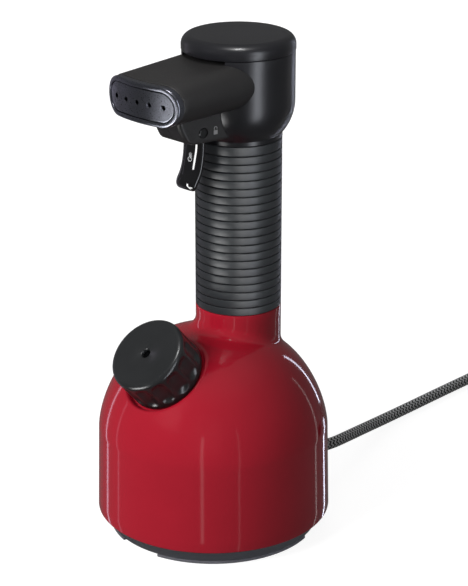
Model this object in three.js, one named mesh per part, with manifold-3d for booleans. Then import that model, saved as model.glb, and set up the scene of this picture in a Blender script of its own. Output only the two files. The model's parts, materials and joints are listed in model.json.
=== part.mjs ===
// Hand-held garment steamer with a pressure boiler in its base.
// Millimetres, +Z up, floor at z = 0. The front (nozzle, trigger, filler cap) faces -Y, the cord leaves at +Y.

import * as THREE from 'three';
import { mergeVertices } from 'three/addons/utils/BufferGeometryUtils.js';
import Module from 'manifold-3d';

const wasm = await Module();
wasm.setup();

// ---------- driving dimensions ----------

const clearance = 0.3;
const roundSides = 40;
const hiddenSides = 32;
const smallSides = 16;

// base and shell, centred on the base axis x = y = 0
const shellWall = 2.4;
const footHeight = 2;
const footOuterRadius = 64.6;
const footInnerRadius = 57;
const footGapDegrees = 27.2;
const shellBottom = 10.9;
const shellBottomRadius = 72.1;
const shoulderHeight = 64.7;
const shoulderRadius = 70.8;
const domeTop = 125.4;
const domePlanPower = 2.775;
const domeRisePower = 1.55;
const trayFloor = 5;
const postRadius = 64;

// grip column, behind the base axis
const gripOffset = 21.8;
const gripRadius = 26.2;
const gripBottom = 139;
const gripTop = 245;
const neckBore = 23.4;
const coreRadius = 22.6;
const coreBore = 20.4;
const coreBottom = 104;
const coreTop = 249.8;

// head
const headRadius = 33.7;
const headWall = 2.4;
const bowlRadius = 30;
const bowlTop = 268;
const bowlBottom = 248;
const lidSeam = 297.9;
const lidRadius = 34;
const lidTop = 307.3;
const lidEdge = 6;

// nozzle: a stadium section whose face is an arc about the grip axis
const nozzleHeight = 280.9;
const nozzleHalfWidth = 29.4;
const nozzleHalfHeight = 11.8;
const nozzleRise = 0.0024;      // growth of the section's height per millimetre towards the head
const nozzleWall = 2;
const faceRadius = 81.6;
const rimWidth = 2.9;
const rimDepth = 4;
const plateRecess = 0.4;
const plateThickness = 2.5;
const steamHoles = 5;
const steamHoleSpacing = 9.8;
const steamHoleRadius = 1.3;

// trigger and its housing
const housingBottom = 251.4;
const housingTop = 268.8;
const housingFrontHalf = 12.8;
const housingBackHalf = 16.5;
const pivotY = -16.6;
const pivotZ = 263.5;
const hubRadius = 3.4;
const pinRadius = 1.6;
const triggerHalfWidth = 8.4;
const lockY = -20.5;
const lockZ = 257.7;
const lockRadius = 2.9;
const stemZ = 255.5;
const stemRadius = 1.5;

// filler: everything on it is turned about one slanted axis
const capTilt = THREE.MathUtils.degToRad(48);
const capBase = new THREE.Vector3(0, -38.6, 108.1);
const capRadius = 24.2;
const capHeight = 25.5;
const capHoleRadius = 2.9;
const capFlutes = 14;
const fluteRadius = 6.5;
const fluteDepth = 1.85;
const firstFlute = 11.1;
const seatRadius = 25.6;
const neckOuter = 11.9;
const neckInner = 9.2;

// boiler
const boilerRadius = 44;
const boilerWall = 3;
const flangeRadius = 50;
const boilerBottom = 24;
const boilerJoint = 42;
const gasketThickness = 0.6;
const boilerTop = 78;

// mains cord
const cordRadius = 3.75;
const coilCentre = new THREE.Vector2(31, 322);
const coilTurnRadius = 43;
const coilColumns = 3;
const coilLayers = 2;
const coilMeet = 291;
const reliefTilt = THREE.MathUtils.degToRad(-6.5);
const reliefStart = new THREE.Vector3(0, 66, 19);
const reliefRadius = 6;
const reliefFlange = 7.6;
const reliefLength = 34.5;
const plugHalfWidth = 13;
const plugHalfHeight = 12;
const plugBack = 262;
const plugFace = 224;

// ---------- finishes ----------

const finish = {
  redGloss: { color: 0xa0202f, roughness: 0.12, metalness: 0 },
  black: { color: 0x232425, roughness: 0.45, metalness: 0 },
  satinBlack: { color: 0x2c2c2e, roughness: 0.32, metalness: 0 },
  darkGrey: { color: 0x3c3e42, roughness: 0.6, metalness: 0 },
  gripRubber: { color: 0x3a3c3e, roughness: 0.75, metalness: 0 },
  pianoBlack: { color: 0x0c0c0e, roughness: 0.05, metalness: 0 },
  gunmetal: { color: 0x6c6f78, roughness: 0.3, metalness: 1 },
  aluminium: { color: 0xb4b7ba, roughness: 0.45, metalness: 1 },
  steel: { color: 0xa6a9ad, roughness: 0.3, metalness: 1 },
  brass: { color: 0xb6924a, roughness: 0.35, metalness: 1 },
  silicone: { color: 0xb9bcb8, roughness: 0.8, metalness: 0 },
  boardGreen: { color: 0x1f5a3a, roughness: 0.6, metalness: 0 },
  braid: { color: 0x4a4a4c, roughness: 0.9, metalness: 0 },
};

// ---------- solid helpers ----------

// One closed body from a three.js geometry: shared corners merged, slivers dropped, faces outwards.
function closed(geometry) {
  const bare = geometry.index ? geometry.toNonIndexed() : geometry.clone();
  bare.deleteAttribute('normal');
  bare.deleteAttribute('uv');
  const merged = mergeVertices(bare, 1e-4);
  const corner = (i) => new THREE.Vector3().fromBufferAttribute(merged.attributes.position, i);
  const kept = [];
  let volume = 0;
  for (let i = 0; i < merged.index.count; i += 3) {
    const [a, b, c] = [0, 1, 2].map((k) => merged.index.getX(i + k));
    if (a === b || b === c || c === a) continue;
    kept.push(a, b, c);
    volume += corner(a).dot(corner(b).cross(corner(c)));
  }
  if (volume < 0) kept.reverse();
  merged.setIndex(kept);
  return merged;
}

function toSolid(geometry) {
  const shape = closed(geometry);
  const vertProperties = new Float32Array(shape.attributes.position.array);
  const triVerts = new Uint32Array(shape.index.array);
  return new wasm.Manifold(new wasm.Mesh({ numProp: 3, vertProperties, triVerts }));
}

function toGeometry(solid) {
  const mesh = solid.getMesh();
  const geometry = new THREE.BufferGeometry();
  geometry.setAttribute('position', new THREE.BufferAttribute(new Float32Array(mesh.vertProperties), 3));
  geometry.setIndex(Array.from(mesh.triVerts));
  return geometry;
}

function join(...geometries) {
  return toGeometry(geometries.map(toSolid).reduce((a, b) => a.add(b)));
}

function cut(body, ...tools) {
  return toGeometry(tools.map(toSolid).reduce((a, b) => a.subtract(b), toSolid(body)));
}

function common(body, tool) {
  return toGeometry(toSolid(body).intersect(toSolid(tool)));
}

// ---------- shape helpers ----------

// A profile of [radius, height] pairs turned about the Z axis.
function turned(profile, sides = roundSides) {
  const points = profile.map(([r, z]) => new THREE.Vector2(r, z));
  return new THREE.LatheGeometry(points, sides).rotateX(Math.PI / 2);
}

function rod(radius, bottom, top, sides = smallSides) {
  return turned([[0, bottom], [radius, bottom], [radius, top], [0, top]], sides);
}

function ring(inner, outer, bottom, top, sides = roundSides) {
  return turned([[inner, bottom], [outer, bottom], [outer, top], [inner, top], [inner, bottom]], sides);
}

// A rod that lies along X or Y from one coordinate to the other.
function rodAlongX(radius, from, to, y, z, sides = smallSides) {
  return rod(radius, from, to, sides).rotateY(Math.PI / 2).translate(0, y, z);
}

function rodAlongY(radius, from, to, x, z, sides = smallSides) {
  return rod(radius, -to, -from, sides).rotateX(Math.PI / 2).translate(x, 0, z);
}

function block(x0, x1, y0, y1, z0, z1) {
  const box = new THREE.BoxGeometry(x1 - x0, y1 - y0, z1 - z0);
  return box.translate((x0 + x1) / 2, (y0 + y1) / 2, (z0 + z1) / 2);
}

// A flat stadium drawn in X and Z about the nozzle's height, and drawn out along Y.
function stadium(halfWidth, halfHeight, y0, y1) {
  const shape = new THREE.Shape();
  const straight = halfWidth - halfHeight;
  shape.absarc(straight, 0, halfHeight, -Math.PI / 2, Math.PI / 2, false);
  shape.absarc(-straight, 0, halfHeight, Math.PI / 2, 3 * Math.PI / 2, false);
  const drawn = new THREE.ExtrudeGeometry(shape, { depth: y1 - y0, bevelEnabled: false, curveSegments: 7 });
  return drawn.rotateX(Math.PI / 2).translate(0, y1, nozzleHeight);
}

// Makes a straight nozzle piece taller towards the head, about the line along its underside.
function rising(geometry) {
  const corners = geometry.attributes.position;
  const underside = nozzleHeight - nozzleHalfHeight;
  const faceY = gripOffset - faceRadius;
  for (let i = 0; i < corners.count; i += 1) {
    const growth = 1 + nozzleRise * (corners.getY(i) - faceY);
    corners.setZ(i, underside + (corners.getZ(i) - underside) * growth);
  }
  return geometry;
}

// An outline of [y, z] pairs drawn out along X between -halfWidth and +halfWidth.
function sideOutline(points, halfWidth) {
  const shape = new THREE.Shape(points.map(([y, z]) => new THREE.Vector2(y, z)));
  const drawn = new THREE.ExtrudeGeometry(shape, { depth: 2 * halfWidth, bevelEnabled: false });
  return drawn.rotateY(Math.PI / 2).rotateX(Math.PI / 2).translate(-halfWidth, 0, 0);
}

function tube(points, radius, sides, steps) {
  const path = new THREE.CatmullRomCurve3(points.map((p) => new THREE.Vector3(...p)), false, 'centripetal');
  const section = new THREE.Shape();
  for (let i = 0; i < sides; i += 1) {
    const turn = (i / sides) * 2 * Math.PI;
    const at = [radius * Math.cos(turn), radius * Math.sin(turn)];
    if (i === 0) section.moveTo(...at);
    else section.lineTo(...at);
  }
  return new THREE.ExtrudeGeometry(section, { steps, bevelEnabled: false, extrudePath: path });
}

// A wedge of the ring band between two angles, measured from the front (-Y) counter-clockwise.
function arcBand(inner, outer, fromDegrees, toDegrees, bottom, top) {
  const shape = new THREE.Shape();
  const from = THREE.MathUtils.degToRad(fromDegrees - 90);
  const to = THREE.MathUtils.degToRad(toDegrees - 90);
  shape.absarc(0, 0, outer, from, to, false);
  shape.absarc(0, 0, inner, to, from, true);
  const drawn = new THREE.ExtrudeGeometry(shape, { depth: top - bottom, bevelEnabled: false, curveSegments: 14 });
  return drawn.translate(0, 0, bottom);
}

// Turns a geometry made about +Y, with y = 0 at the relief's inner end, onto the cord's outlet axis.
function onOutletAxis(geometry) {
  return geometry.rotateX(reliefTilt).translate(reliefStart.x, reliefStart.y, reliefStart.z);
}

const onGripAxis = (geometry) => geometry.translate(0, gripOffset, 0);

// Turns a geometry made about +Z, with z = 0 at the cap's lower edge, onto the filler's slanted axis.
function onFillerAxis(geometry) {
  return geometry.rotateX(Math.PI / 2 - capTilt).translate(capBase.x, capBase.y, capBase.z);
}

const assembly = new THREE.Group();
assembly.name = 'garment_steamer';

function place(name, geometry, look, group = assembly) {
  const mesh = new THREE.Mesh(closed(geometry), new THREE.MeshStandardMaterial(look));
  mesh.name = name;
  group.add(mesh);
  return mesh;
}

// ---------- base ----------

// Radius of the dome's outside at a height: straight with a slight draft, then a rounded shoulder.
function domeRadius(z) {
  if (z <= shoulderHeight) {
    const rise = (z - shellBottom) / (shoulderHeight - shellBottom);
    return shellBottomRadius + (shoulderRadius - shellBottomRadius) * rise;
  }
  const rise = Math.min(1, (z - shoulderHeight) / (domeTop - shoulderHeight));
  return shoulderRadius * (1 - rise ** domeRisePower) ** (1 / domePlanPower);
}

// The dome's profile, moved inwards by an inset, from a height up to the axis.
function domeProfile(inset, bottom, levels) {
  const profile = [[0, bottom], [domeRadius(Math.max(bottom, shellBottom)) - inset, bottom]];
  for (let i = 0; i < levels; i += 1) {
    const turn = (i / levels) * (Math.PI / 2);
    const rise = Math.sin(turn) ** 1.2;
    const z = shoulderHeight + (domeTop - shoulderHeight) * rise;
    const lowered = shoulderHeight + (domeTop - inset - shoulderHeight) * rise;
    profile.push([domeRadius(z) - inset, lowered]);
  }
  profile.push([0, domeTop - inset]);
  return profile.filter(([r], i) => r > 0 || i === 0 || i === profile.length - 1);
}

const postAngles = [30, 150, 270];

function aroundBase(geometry, degrees, radius) {
  const turn = THREE.MathUtils.degToRad(degrees);
  return geometry.translate(radius * Math.cos(turn), radius * Math.sin(turn), 0);
}

function makeBodyShell() {
  const neck = onGripAxis(rod(gripRadius, domeTop - 25, gripBottom, roundSides));
  const neckHollow = onGripAxis(rod(neckBore, domeTop - 30, gripBottom + 1, roundSides));
  const outside = join(turned(domeProfile(0, shellBottom, 9)), neck);
  const hollow = join(turned(domeProfile(shellWall, shellBottom - 1, 6), hiddenSides), neckHollow);
  const overSeat = onFillerAxis(rod(seatRadius, -0.6, 12, roundSides));
  const seatPad = onFillerAxis(rod(seatRadius, -5, -0.6, roundSides));
  const fillerHole = onFillerAxis(rod(14.5, -12, 6, 32));
  const cordHole = onOutletAxis(rodAlongY(reliefRadius + clearance, -6, 14, 0, 0, smallSides));
  const posts = postAngles.map((angle) => {
    const post = rod(5, shellBottom, 34, smallSides);
    const web = block(0, 5.6, -1.5, 1.5, shellBottom + 0.5, 34).rotateZ(THREE.MathUtils.degToRad(angle));
    return [aroundBase(post, angle, postRadius), aroundBase(web, angle, postRadius)];
  }).flat();
  const shell = join(cut(cut(outside, hollow), overSeat), seatPad, ...posts);
  const pilots = postAngles.map((angle) => aroundBase(rod(1.8, shellBottom - 1, 24, 8), angle, postRadius));
  return cut(shell, fillerHole, cordHole, ...pilots);
}

function makeBasePlate() {
  const tray = turned([
    [0, footHeight], [64.6, footHeight], [68.2, shellBottom - 0.3], [68.8, shellBottom - 0.3],
    [68.8, 19], [66.6, 19], [66.6, 12.5], [62, trayFloor], [0, trayFloor],
  ]);
  const rests = [90, 210, 330].map((angle) => aroundBase(rod(4, trayFloor - 1, boilerBottom - 0.3), angle, 38));
  const notches = postAngles.map((angle) => aroundBase(rod(5.6, shellBottom - 0.3, 25), angle, postRadius));
  const bores = postAngles.map((angle) => aroundBase(rod(1.9, 0, 20, 12), angle, postRadius));
  const heads = postAngles.map((angle) => aroundBase(rod(3.4, 0, 4.2, 12), angle, postRadius));
  const padded = postAngles.map((angle) => aroundBase(rod(5.2, 5.5, shellBottom - 0.3), angle, postRadius - 1));
  const outlet = onOutletAxis(rodAlongY(reliefFlange + clearance, -8, 14, 0, 0, smallSides));
  return cut(join(tray, ...rests, ...padded), ...notches, ...bores, ...heads, outlet);
}

function makeBaseScrew(angle) {
  const screw = turned([[0, 2.3], [2.8, 2.3], [2.8, 3.9], [1.4, 3.9], [1.4, 19], [0, 19.8]], 12);
  return aroundBase(screw, angle, postRadius);
}

place('body_shell', makeBodyShell(), finish.redGloss);
place('base_plate', makeBasePlate(), finish.darkGrey);

const footNames = ['foot_right', 'foot_back', 'foot_left'];
footNames.forEach((name, i) => {
  const from = i * 120 + footGapDegrees / 2;
  const to = (i + 1) * 120 - footGapDegrees / 2;
  place(name, arcBand(footInnerRadius, footOuterRadius, from, to, 0, footHeight), finish.darkGrey);
});
postAngles.forEach((angle, i) => place(`base_screw_${i + 1}`, makeBaseScrew(angle), finish.steel));

// ---------- boiler ----------

const boltAngles = [45, 135, 225, 315];
const boltCircle = 47.2;
const coverBottom = boilerJoint + gasketThickness;

function boltHoles(bottom, top) {
  return boltAngles.map((angle) => aroundBase(rod(1.9, bottom, top, 10), angle, boltCircle));
}

function makeBoilerPan() {
  const pan = turned([
    [0, boilerBottom], [boilerRadius, boilerBottom], [boilerRadius, boilerJoint - 2.5],
    [flangeRadius, boilerJoint - 2.5], [flangeRadius, boilerJoint], [boilerRadius - boilerWall, boilerJoint],
    [boilerRadius - boilerWall, boilerBottom + boilerWall], [0, boilerBottom + boilerWall],
  ]);
  return cut(pan, ...boltHoles(boilerJoint - 4, boilerJoint + 1));
}

function makeBoilerCover() {
  const bore = boilerRadius - boilerWall;
  const cover = turned([
    [0, coverBottom], [flangeRadius, coverBottom], [flangeRadius, coverBottom + 2.5],
    [boilerRadius, coverBottom + 2.5], [boilerRadius, 62], [40, 70], [26, boilerTop], [0, boilerTop],
  ]);
  const hollow = turned([
    [0, coverBottom - 1], [bore, coverBottom - 1], [bore, 61], [37.5, 67.8], [25, boilerTop - boilerWall],
    [0, boilerTop - boilerWall],
  ]);
  const neck = onFillerAxis(rod(neckOuter, -44, 8, 24));
  const neckBored = onFillerAxis(rod(neckInner, -54, 9, 24));
  return cut(join(cover, neck), hollow, neckBored, ...boltHoles(boilerJoint, boilerJoint + 6));
}

function makeBoilerScrew(angle) {
  const screw = turned([
    [0, boilerJoint - 6], [1.6, boilerJoint - 6], [1.6, coverBottom + 2.8], [3, coverBottom + 2.8],
    [3, coverBottom + 5], [0, coverBottom + 5],
  ], 10);
  return aroundBase(screw, angle, boltCircle);
}

place('boiler_pan', makeBoilerPan(), finish.aluminium);
place('boiler_cover', makeBoilerCover(), finish.aluminium);
const gasketSpan = [boilerJoint + 0.05, coverBottom - 0.05];
place('boiler_gasket', ring(boilerRadius - boilerWall + 0.3, 45, ...gasketSpan), finish.silicone);
boltAngles.forEach((angle, i) => place(`boiler_screw_${i + 1}`, makeBoilerScrew(angle), finish.steel));

const elementRing = [];
for (let i = 0; i <= 6; i += 1) {
  const turn = (i / 6) * 2 * Math.PI;
  elementRing.push([29 + 3.2 * Math.cos(turn), 20.2 + 3.2 * Math.sin(turn)]);
}
place('heating_element', turned(elementRing, 28), finish.steel);
place('thermostat', rod(8, 17, boilerBottom - 0.3, 24), finish.brass);
place('thermal_fuse', rodAlongY(1.8, -8, 8, 16, 21.6, 12), finish.steel);
place('safety_valve', turned([
  [0, boilerTop + 0.3], [5, boilerTop + 0.3], [5, 84], [3.2, 86], [3.2, 93], [0, 93],
], smallSides).translate(19, 5, 0), finish.brass);
place('steam_pipe', onGripAxis(ring(2, 3, boilerTop + 0.3, coreTop + 0.4, smallSides)), finish.steel);
place('control_board', block(-18, 18, 55.7, 57.3, 25, 70), finish.boardGreen);
place('inner_lead', tube([[0, 64.9, 19], [0, 62.4, 20.4], [0, 60.9, 25], [0, 60.9, 32]], 2.2, 8, 8), finish.black);

// ---------- filler cap, on its slanted axis ----------

function makeFillerCap() {
  const body = turned([
    [0, 0], [23.2, 0], [capRadius, 1.2], [capRadius, capHeight - 3], [23.3, capHeight - 0.9],
    [21.3, capHeight], [0, capHeight],
  ], 4 * capFlutes);
  const flutes = [];
  for (let i = 0; i < capFlutes; i += 1) {
    const turn = (firstFlute / 180 + (2 * i) / capFlutes) * Math.PI;
    const reach = capRadius + fluteRadius - fluteDepth;
    const end = fluteRadius - fluteDepth;
    const flute = turned([
      [0, 3.2], [end, 3.2], [fluteRadius - 0.5, 5], [fluteRadius, 7.6], [fluteRadius, 17.9],
      [fluteRadius - 0.5, 20.5], [end, 22.3], [0, 22.3],
    ], 16);
    flutes.push(flute.translate(reach * Math.cos(turn), reach * Math.sin(turn), 0));
  }
  const hollow = rod(19.5, -1, capHeight - 4, 36);
  const hole = rod(capHoleRadius, capHeight - 6, capHeight + 1, 20);
  return cut(body, ...flutes, hollow, hole);
}

place('filler_cap', onFillerAxis(makeFillerCap()), finish.black);
place('cap_plug', onFillerAxis(turned([
  [0, -1.2], [8.6, -1.2], [8.6, 10.6], [15, 10.6], [15, 13.4], [7, 13.4], [7, 21.2], [0, 21.2],
], 24)), finish.black);
place('relief_pin', onFillerAxis(rod(2.4, 21.6, capHeight - 1.8, 16)), finish.steel);
place('cap_gasket', onFillerAxis(ring(9, 12.4, 8.3, 10.2, 24)), finish.silicone);
place('filler_seat', onFillerAxis(ring(12.2, 14.2, -5, 1.6, 24)), finish.steel);

// ---------- grip column ----------

place('column_core', onGripAxis(ring(coreBore, coreRadius, coreBottom, coreTop)), finish.black);
place('grip_sleeve', onGripAxis(turned([
  [coreRadius + 0.3, gripBottom + 0.3], [gripRadius, gripBottom + 0.3], [gripRadius, gripTop],
  [coreRadius + 0.3, gripTop], [coreRadius + 0.3, gripBottom + 0.3],
])), finish.gripRubber);

// ---------- head ----------

// Outside of the head at an inset: neck band, quarter-round bowl and straight wall.
function headProfile(inset, bottom, top) {
  const profile = [[0, bottom], [gripRadius + 0.1 - inset, bottom], [gripRadius + 0.1 - inset, bowlBottom]];
  const steps = 4;
  for (let i = 1; i <= steps; i += 1) {
    const z = bowlBottom + (bowlTop - bowlBottom) * (i / steps);
    const drop = bowlTop - z;
    profile.push([headRadius - inset - bowlRadius + Math.sqrt(bowlRadius ** 2 - drop ** 2), z]);
  }
  profile.push([headRadius - inset, top], [0, top]);
  return profile;
}

function makeHeadShell() {
  const outside = onGripAxis(turned(headProfile(0, gripTop + 0.3, lidSeam)));
  const hollow = onGripAxis(turned(headProfile(headWall, bowlBottom - 0.2, lidSeam + 1), hiddenSides));
  const coreHole = onGripAxis(rod(coreRadius + 0.3, gripTop - 1, coreTop + 1, roundSides));
  const window = rising(stadium(nozzleHalfWidth + clearance, nozzleHalfHeight + clearance, -30, 14));
  const slot = block(-17.6, 17.6, -30, 5, nozzleHeight, lidSeam + 1);
  const stemHole = rodAlongY(2.1, -14, 0, 0, stemZ, 12);
  return cut(outside, hollow, coreHole, window, slot, stemHole);
}

function makeHeadLid() {
  const profile = [[0, lidSeam + 0.2], [lidRadius, lidSeam + 0.2]];
  const steps = 3;
  for (let i = 0; i <= steps; i += 1) {
    const turn = (i / steps) * (Math.PI / 2);
    profile.push([lidRadius - lidEdge + lidEdge * Math.cos(turn), lidTop - lidEdge + lidEdge * Math.sin(turn)]);
  }
  profile.push([0, lidTop]);
  const hollow = rod(29, lidSeam - 1, lidTop - 3, hiddenSides);
  return onGripAxis(cut(turned(profile), hollow));
}

place('head_shell', makeHeadShell(), finish.satinBlack);
place('head_lid', makeHeadLid(), finish.satinBlack);

// ---------- nozzle ----------

function makeNozzleShell() {
  const outer = rising(stadium(nozzleHalfWidth, nozzleHalfHeight, -62, 7));
  const inner = rising(stadium(nozzleHalfWidth - nozzleWall, nozzleHalfHeight - nozzleWall, -63, 8));
  const behindRim = onGripAxis(rod(faceRadius - rimDepth - clearance, 260, 300, 96));
  return common(cut(outer, inner), behindRim);
}

function makeNozzleRim() {
  const outer = stadium(nozzleHalfWidth, nozzleHalfHeight, -64, -30);
  const inner = stadium(nozzleHalfWidth - rimWidth, nozzleHalfHeight - rimWidth + 0.3, -65, -29);
  const band = onGripAxis(ring(faceRadius - rimDepth, faceRadius, 260, 300, 96));
  return common(cut(outer, inner), band);
}

function makeNozzlePlate() {
  const grown = rimWidth + clearance;
  const blank = stadium(nozzleHalfWidth - grown, nozzleHalfHeight - grown + 0.3, -64, -30);
  const outerRadius = faceRadius - plateRecess;
  const plate = common(blank, onGripAxis(ring(outerRadius - plateThickness, outerRadius, 260, 300, 96)));
  const holes = [];
  for (let i = 0; i < steamHoles; i += 1) {
    const x = (i - (steamHoles - 1) / 2) * steamHoleSpacing;
    holes.push(rodAlongY(steamHoleRadius, -64, -48, x, nozzleHeight, 12));
  }
  return cut(plate, ...holes);
}

place('nozzle_shell', makeNozzleShell(), finish.black);
place('nozzle_rim', makeNozzleRim(), finish.gunmetal);
place('nozzle_plate', makeNozzlePlate(), finish.gunmetal);
place('steam_manifold', cut(stadium(24, 7, -51.8, -26), stadium(21.5, 4.5, -52.8, -29)), finish.aluminium);
const ductPath = [[0, 12, 260.9], [0, 12, 272], [0, 9, 279], [0, 2, 280.9], [0, -25.6, 280.9]];
place('steam_duct', tube(ductPath, 3, 8, 9), finish.silicone);

// ---------- valve ----------

place('valve_body', cut(
  join(rodAlongY(5, -1, 30, 0, stemZ, 20), rod(4.6, stemZ, 260.6, 16).translate(0, 12, 0)),
  rodAlongY(1.9, -2, 6, 0, stemZ, 12),
), finish.brass);
place('valve_stem', join(
  rodAlongY(stemRadius, -11.4, 3.5, 0, stemZ, 12),
  rodAlongY(2.7, -4.6, -3.9, 0, stemZ, 12),
), finish.steel);
place('valve_spring', ring(1.9, 2.6, 1.3, 3.6, 12).rotateX(Math.PI / 2).translate(0, 0, stemZ), finish.steel);

// ---------- trigger ----------

function makeTriggerHousing() {
  const plan = new THREE.Shape([
    [-10.4, -40], [10.4, -40], [12, -33], [housingFrontHalf, -27], [housingBackHalf, -3], [housingBackHalf, 4],
    [-housingBackHalf, 4], [-housingBackHalf, -3], [-housingFrontHalf, -27], [-12, -33],
  ].map(([x, y]) => new THREE.Vector2(x, y)));
  const depth = housingTop - housingBottom;
  const upright = new THREE.ExtrudeGeometry(plan, { depth, bevelEnabled: false }).translate(0, 0, housingBottom);
  const side = sideOutline([
    [-38.5, housingTop + 1], [-36.3, 262], [-34.4, 257.6], [-32, 254], [-30, 252.3], [-27.8, housingBottom],
    [4, housingBottom], [4, housingTop + 1],
  ], 20);
  const head = onGripAxis(turned(headProfile(-clearance, gripTop - 5, lidSeam)));
  const pocket = block(-10.6, 10.6, -26, 4, housingBottom + 2, housingTop - 1.2);
  const mouth = block(-9.2, 9.2, -21.5, 4, housingBottom - 1, housingBottom + 3);
  const lockBore = rodAlongX(lockRadius + 0.25, -20, 20, lockY, lockZ, 20);
  const pinBore = rodAlongX(pinRadius + 0.25, -13, 13, pivotY, pivotZ, 12);
  return cut(common(upright, side), head, pocket, mouth, lockBore, pinBore);
}

function makeTrigger() {
  const lever = sideOutline([
    [-17.3, 261], [-17.3, 246], [-18, 240], [-19.7, 233], [-21.4, 229.6], [-23.4, 226.6], [-24.1, 224],
    [-23.2, 221.6], [-21, 220.6], [-18.9, 222.4], [-16.4, 226.6], [-14, 231.6], [-12.5, 238], [-12, 247],
    [-12, 257], [-12.8, 261],
  ], triggerHalfWidth);
  const hub = rodAlongX(hubRadius, -triggerHalfWidth, triggerHalfWidth, pivotY, pivotZ, 20);
  const bore = rodAlongX(pinRadius + 0.1, -20, 20, pivotY, pivotZ, 12);
  return cut(join(lever, hub), bore);
}

place('trigger_housing', makeTriggerHousing(), finish.black);
place('trigger', makeTrigger(), finish.pianoBlack);
place('trigger_pin', rodAlongX(pinRadius, -12.6, 12.6, pivotY, pivotZ, 12), finish.steel);
place('lock_button', rodAlongX(lockRadius, -17, 14, lockY, lockZ, 20), finish.black);

// ---------- mains cord, wound away behind the object ----------

const cordRoute = [
  [0, 100.6, 15], [-0.4, 112, 13.8], [-4.2, 130, 11.2], [-9.2, 150, 8], [-13.3, 170, 5.4], [-15.7, 190, 4.1],
  [-16.9, 212, 3.8], [-17.9, 236, 3.8], [-18.8, 262, 3.8], [-19.5, coilMeet - 0.3, 3.8],
];
place('cord', tube(cordRoute, cordRadius, 10, 14), finish.braid);

const coilInner = coilTurnRadius - coilColumns * cordRadius;
const coilOuter = coilTurnRadius + coilColumns * cordRadius;
const coilHeight = 2 * coilLayers * cordRadius;
const tailX = coilCentre.x + coilOuter - cordRadius;
const overCoil = (geometry) => geometry.translate(coilCentre.x, coilCentre.y, 0);

// The ring that the coil fills, with the corners cleared where the cord comes in and goes out.
function makeCordCoil() {
  const coil = overCoil(ring(coilInner, coilOuter, 0.05, coilHeight, 40));
  const entry = block(-30, coilCentre.x - coilOuter + 8.2, 250, coilMeet, -1, 20);
  const exit = block(tailX - 4.2, 100, 250, coilMeet, -1, 20);
  return cut(coil, entry, exit);
}

place('cord_coil', makeCordCoil(), finish.braid);
const tailPoints = [[tailX, coilMeet - 0.3, 11.3], [tailX, 281, 11.7], [tailX, 272, 12], [tailX, plugBack + 0.3, 12]];
place('cord_tail', tube(tailPoints, cordRadius, 10, 4), finish.braid);

const tieGrown = ring(coilInner - 0.3, coilOuter + 0.3, -1, coilHeight + 0.3, 64);
const tieBlank = block(-5, 5, coilInner - 1.5, coilOuter + 1.5, 0, coilHeight + 1.3);
place('coil_tie', overCoil(cut(tieBlank, tieGrown)), finish.black);

const reliefTaper = turned([
  [0, -reliefLength], [cordRadius + 0.8, -reliefLength], [reliefRadius, -8], [reliefRadius, 0], [0, 0],
], smallSides).rotateX(Math.PI / 2);
const reliefBody = join(rodAlongY(reliefFlange, -0.2, 2.2, 0, 0, smallSides), reliefTaper);
place('strain_relief', onOutletAxis(reliefBody), finish.black);

function makePlugBody() {
  const shape = new THREE.Shape();
  const [w, h, corner] = [plugHalfWidth, plugHalfHeight, 5];
  shape.absarc(w - corner, h - corner, corner, 0, Math.PI / 2, false);
  shape.absarc(corner - w, h - corner, corner, Math.PI / 2, Math.PI, false);
  shape.absarc(corner - w, corner - h, corner, Math.PI, 1.5 * Math.PI, false);
  shape.absarc(w - corner, corner - h, corner, 1.5 * Math.PI, 2 * Math.PI, false);
  const front = new THREE.ExtrudeGeometry(shape, { depth: 20, bevelEnabled: false, curveSegments: 4 });
  const back = turned([[0, 18], [11.5, 18], [9, 27], [6, plugBack - plugFace], [0, plugBack - plugFace]], 20);
  return join(front, back).rotateX(-Math.PI / 2).translate(tailX, plugFace, plugHalfHeight);
}

place('plug_body', makePlugBody(), finish.black);
const bladeSpan = [plugFace - 16.2, plugFace - 0.3, plugHalfHeight + 1, plugHalfHeight + 7.4];
place('plug_blade_left', block(tailX - 7.1, tailX - 5.6, ...bladeSpan), finish.brass);
place('plug_blade_right', block(tailX + 5.6, tailX + 7.1, ...bladeSpan), finish.brass);
const groundPin = rodAlongY(2.4, plugFace - 19, plugFace - 0.3, tailX, plugHalfHeight - 5, 12);
place('plug_ground_pin', groundPin, finish.brass);

export default assembly;
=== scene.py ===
# Hand-held garment steamer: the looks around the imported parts.
# Shapes are worked out in millimetres and made in metres, in the same frame as the parts.
import json
import math

import bmesh
import bpy
import numpy as np
from mathutils import Matrix, Vector

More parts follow.
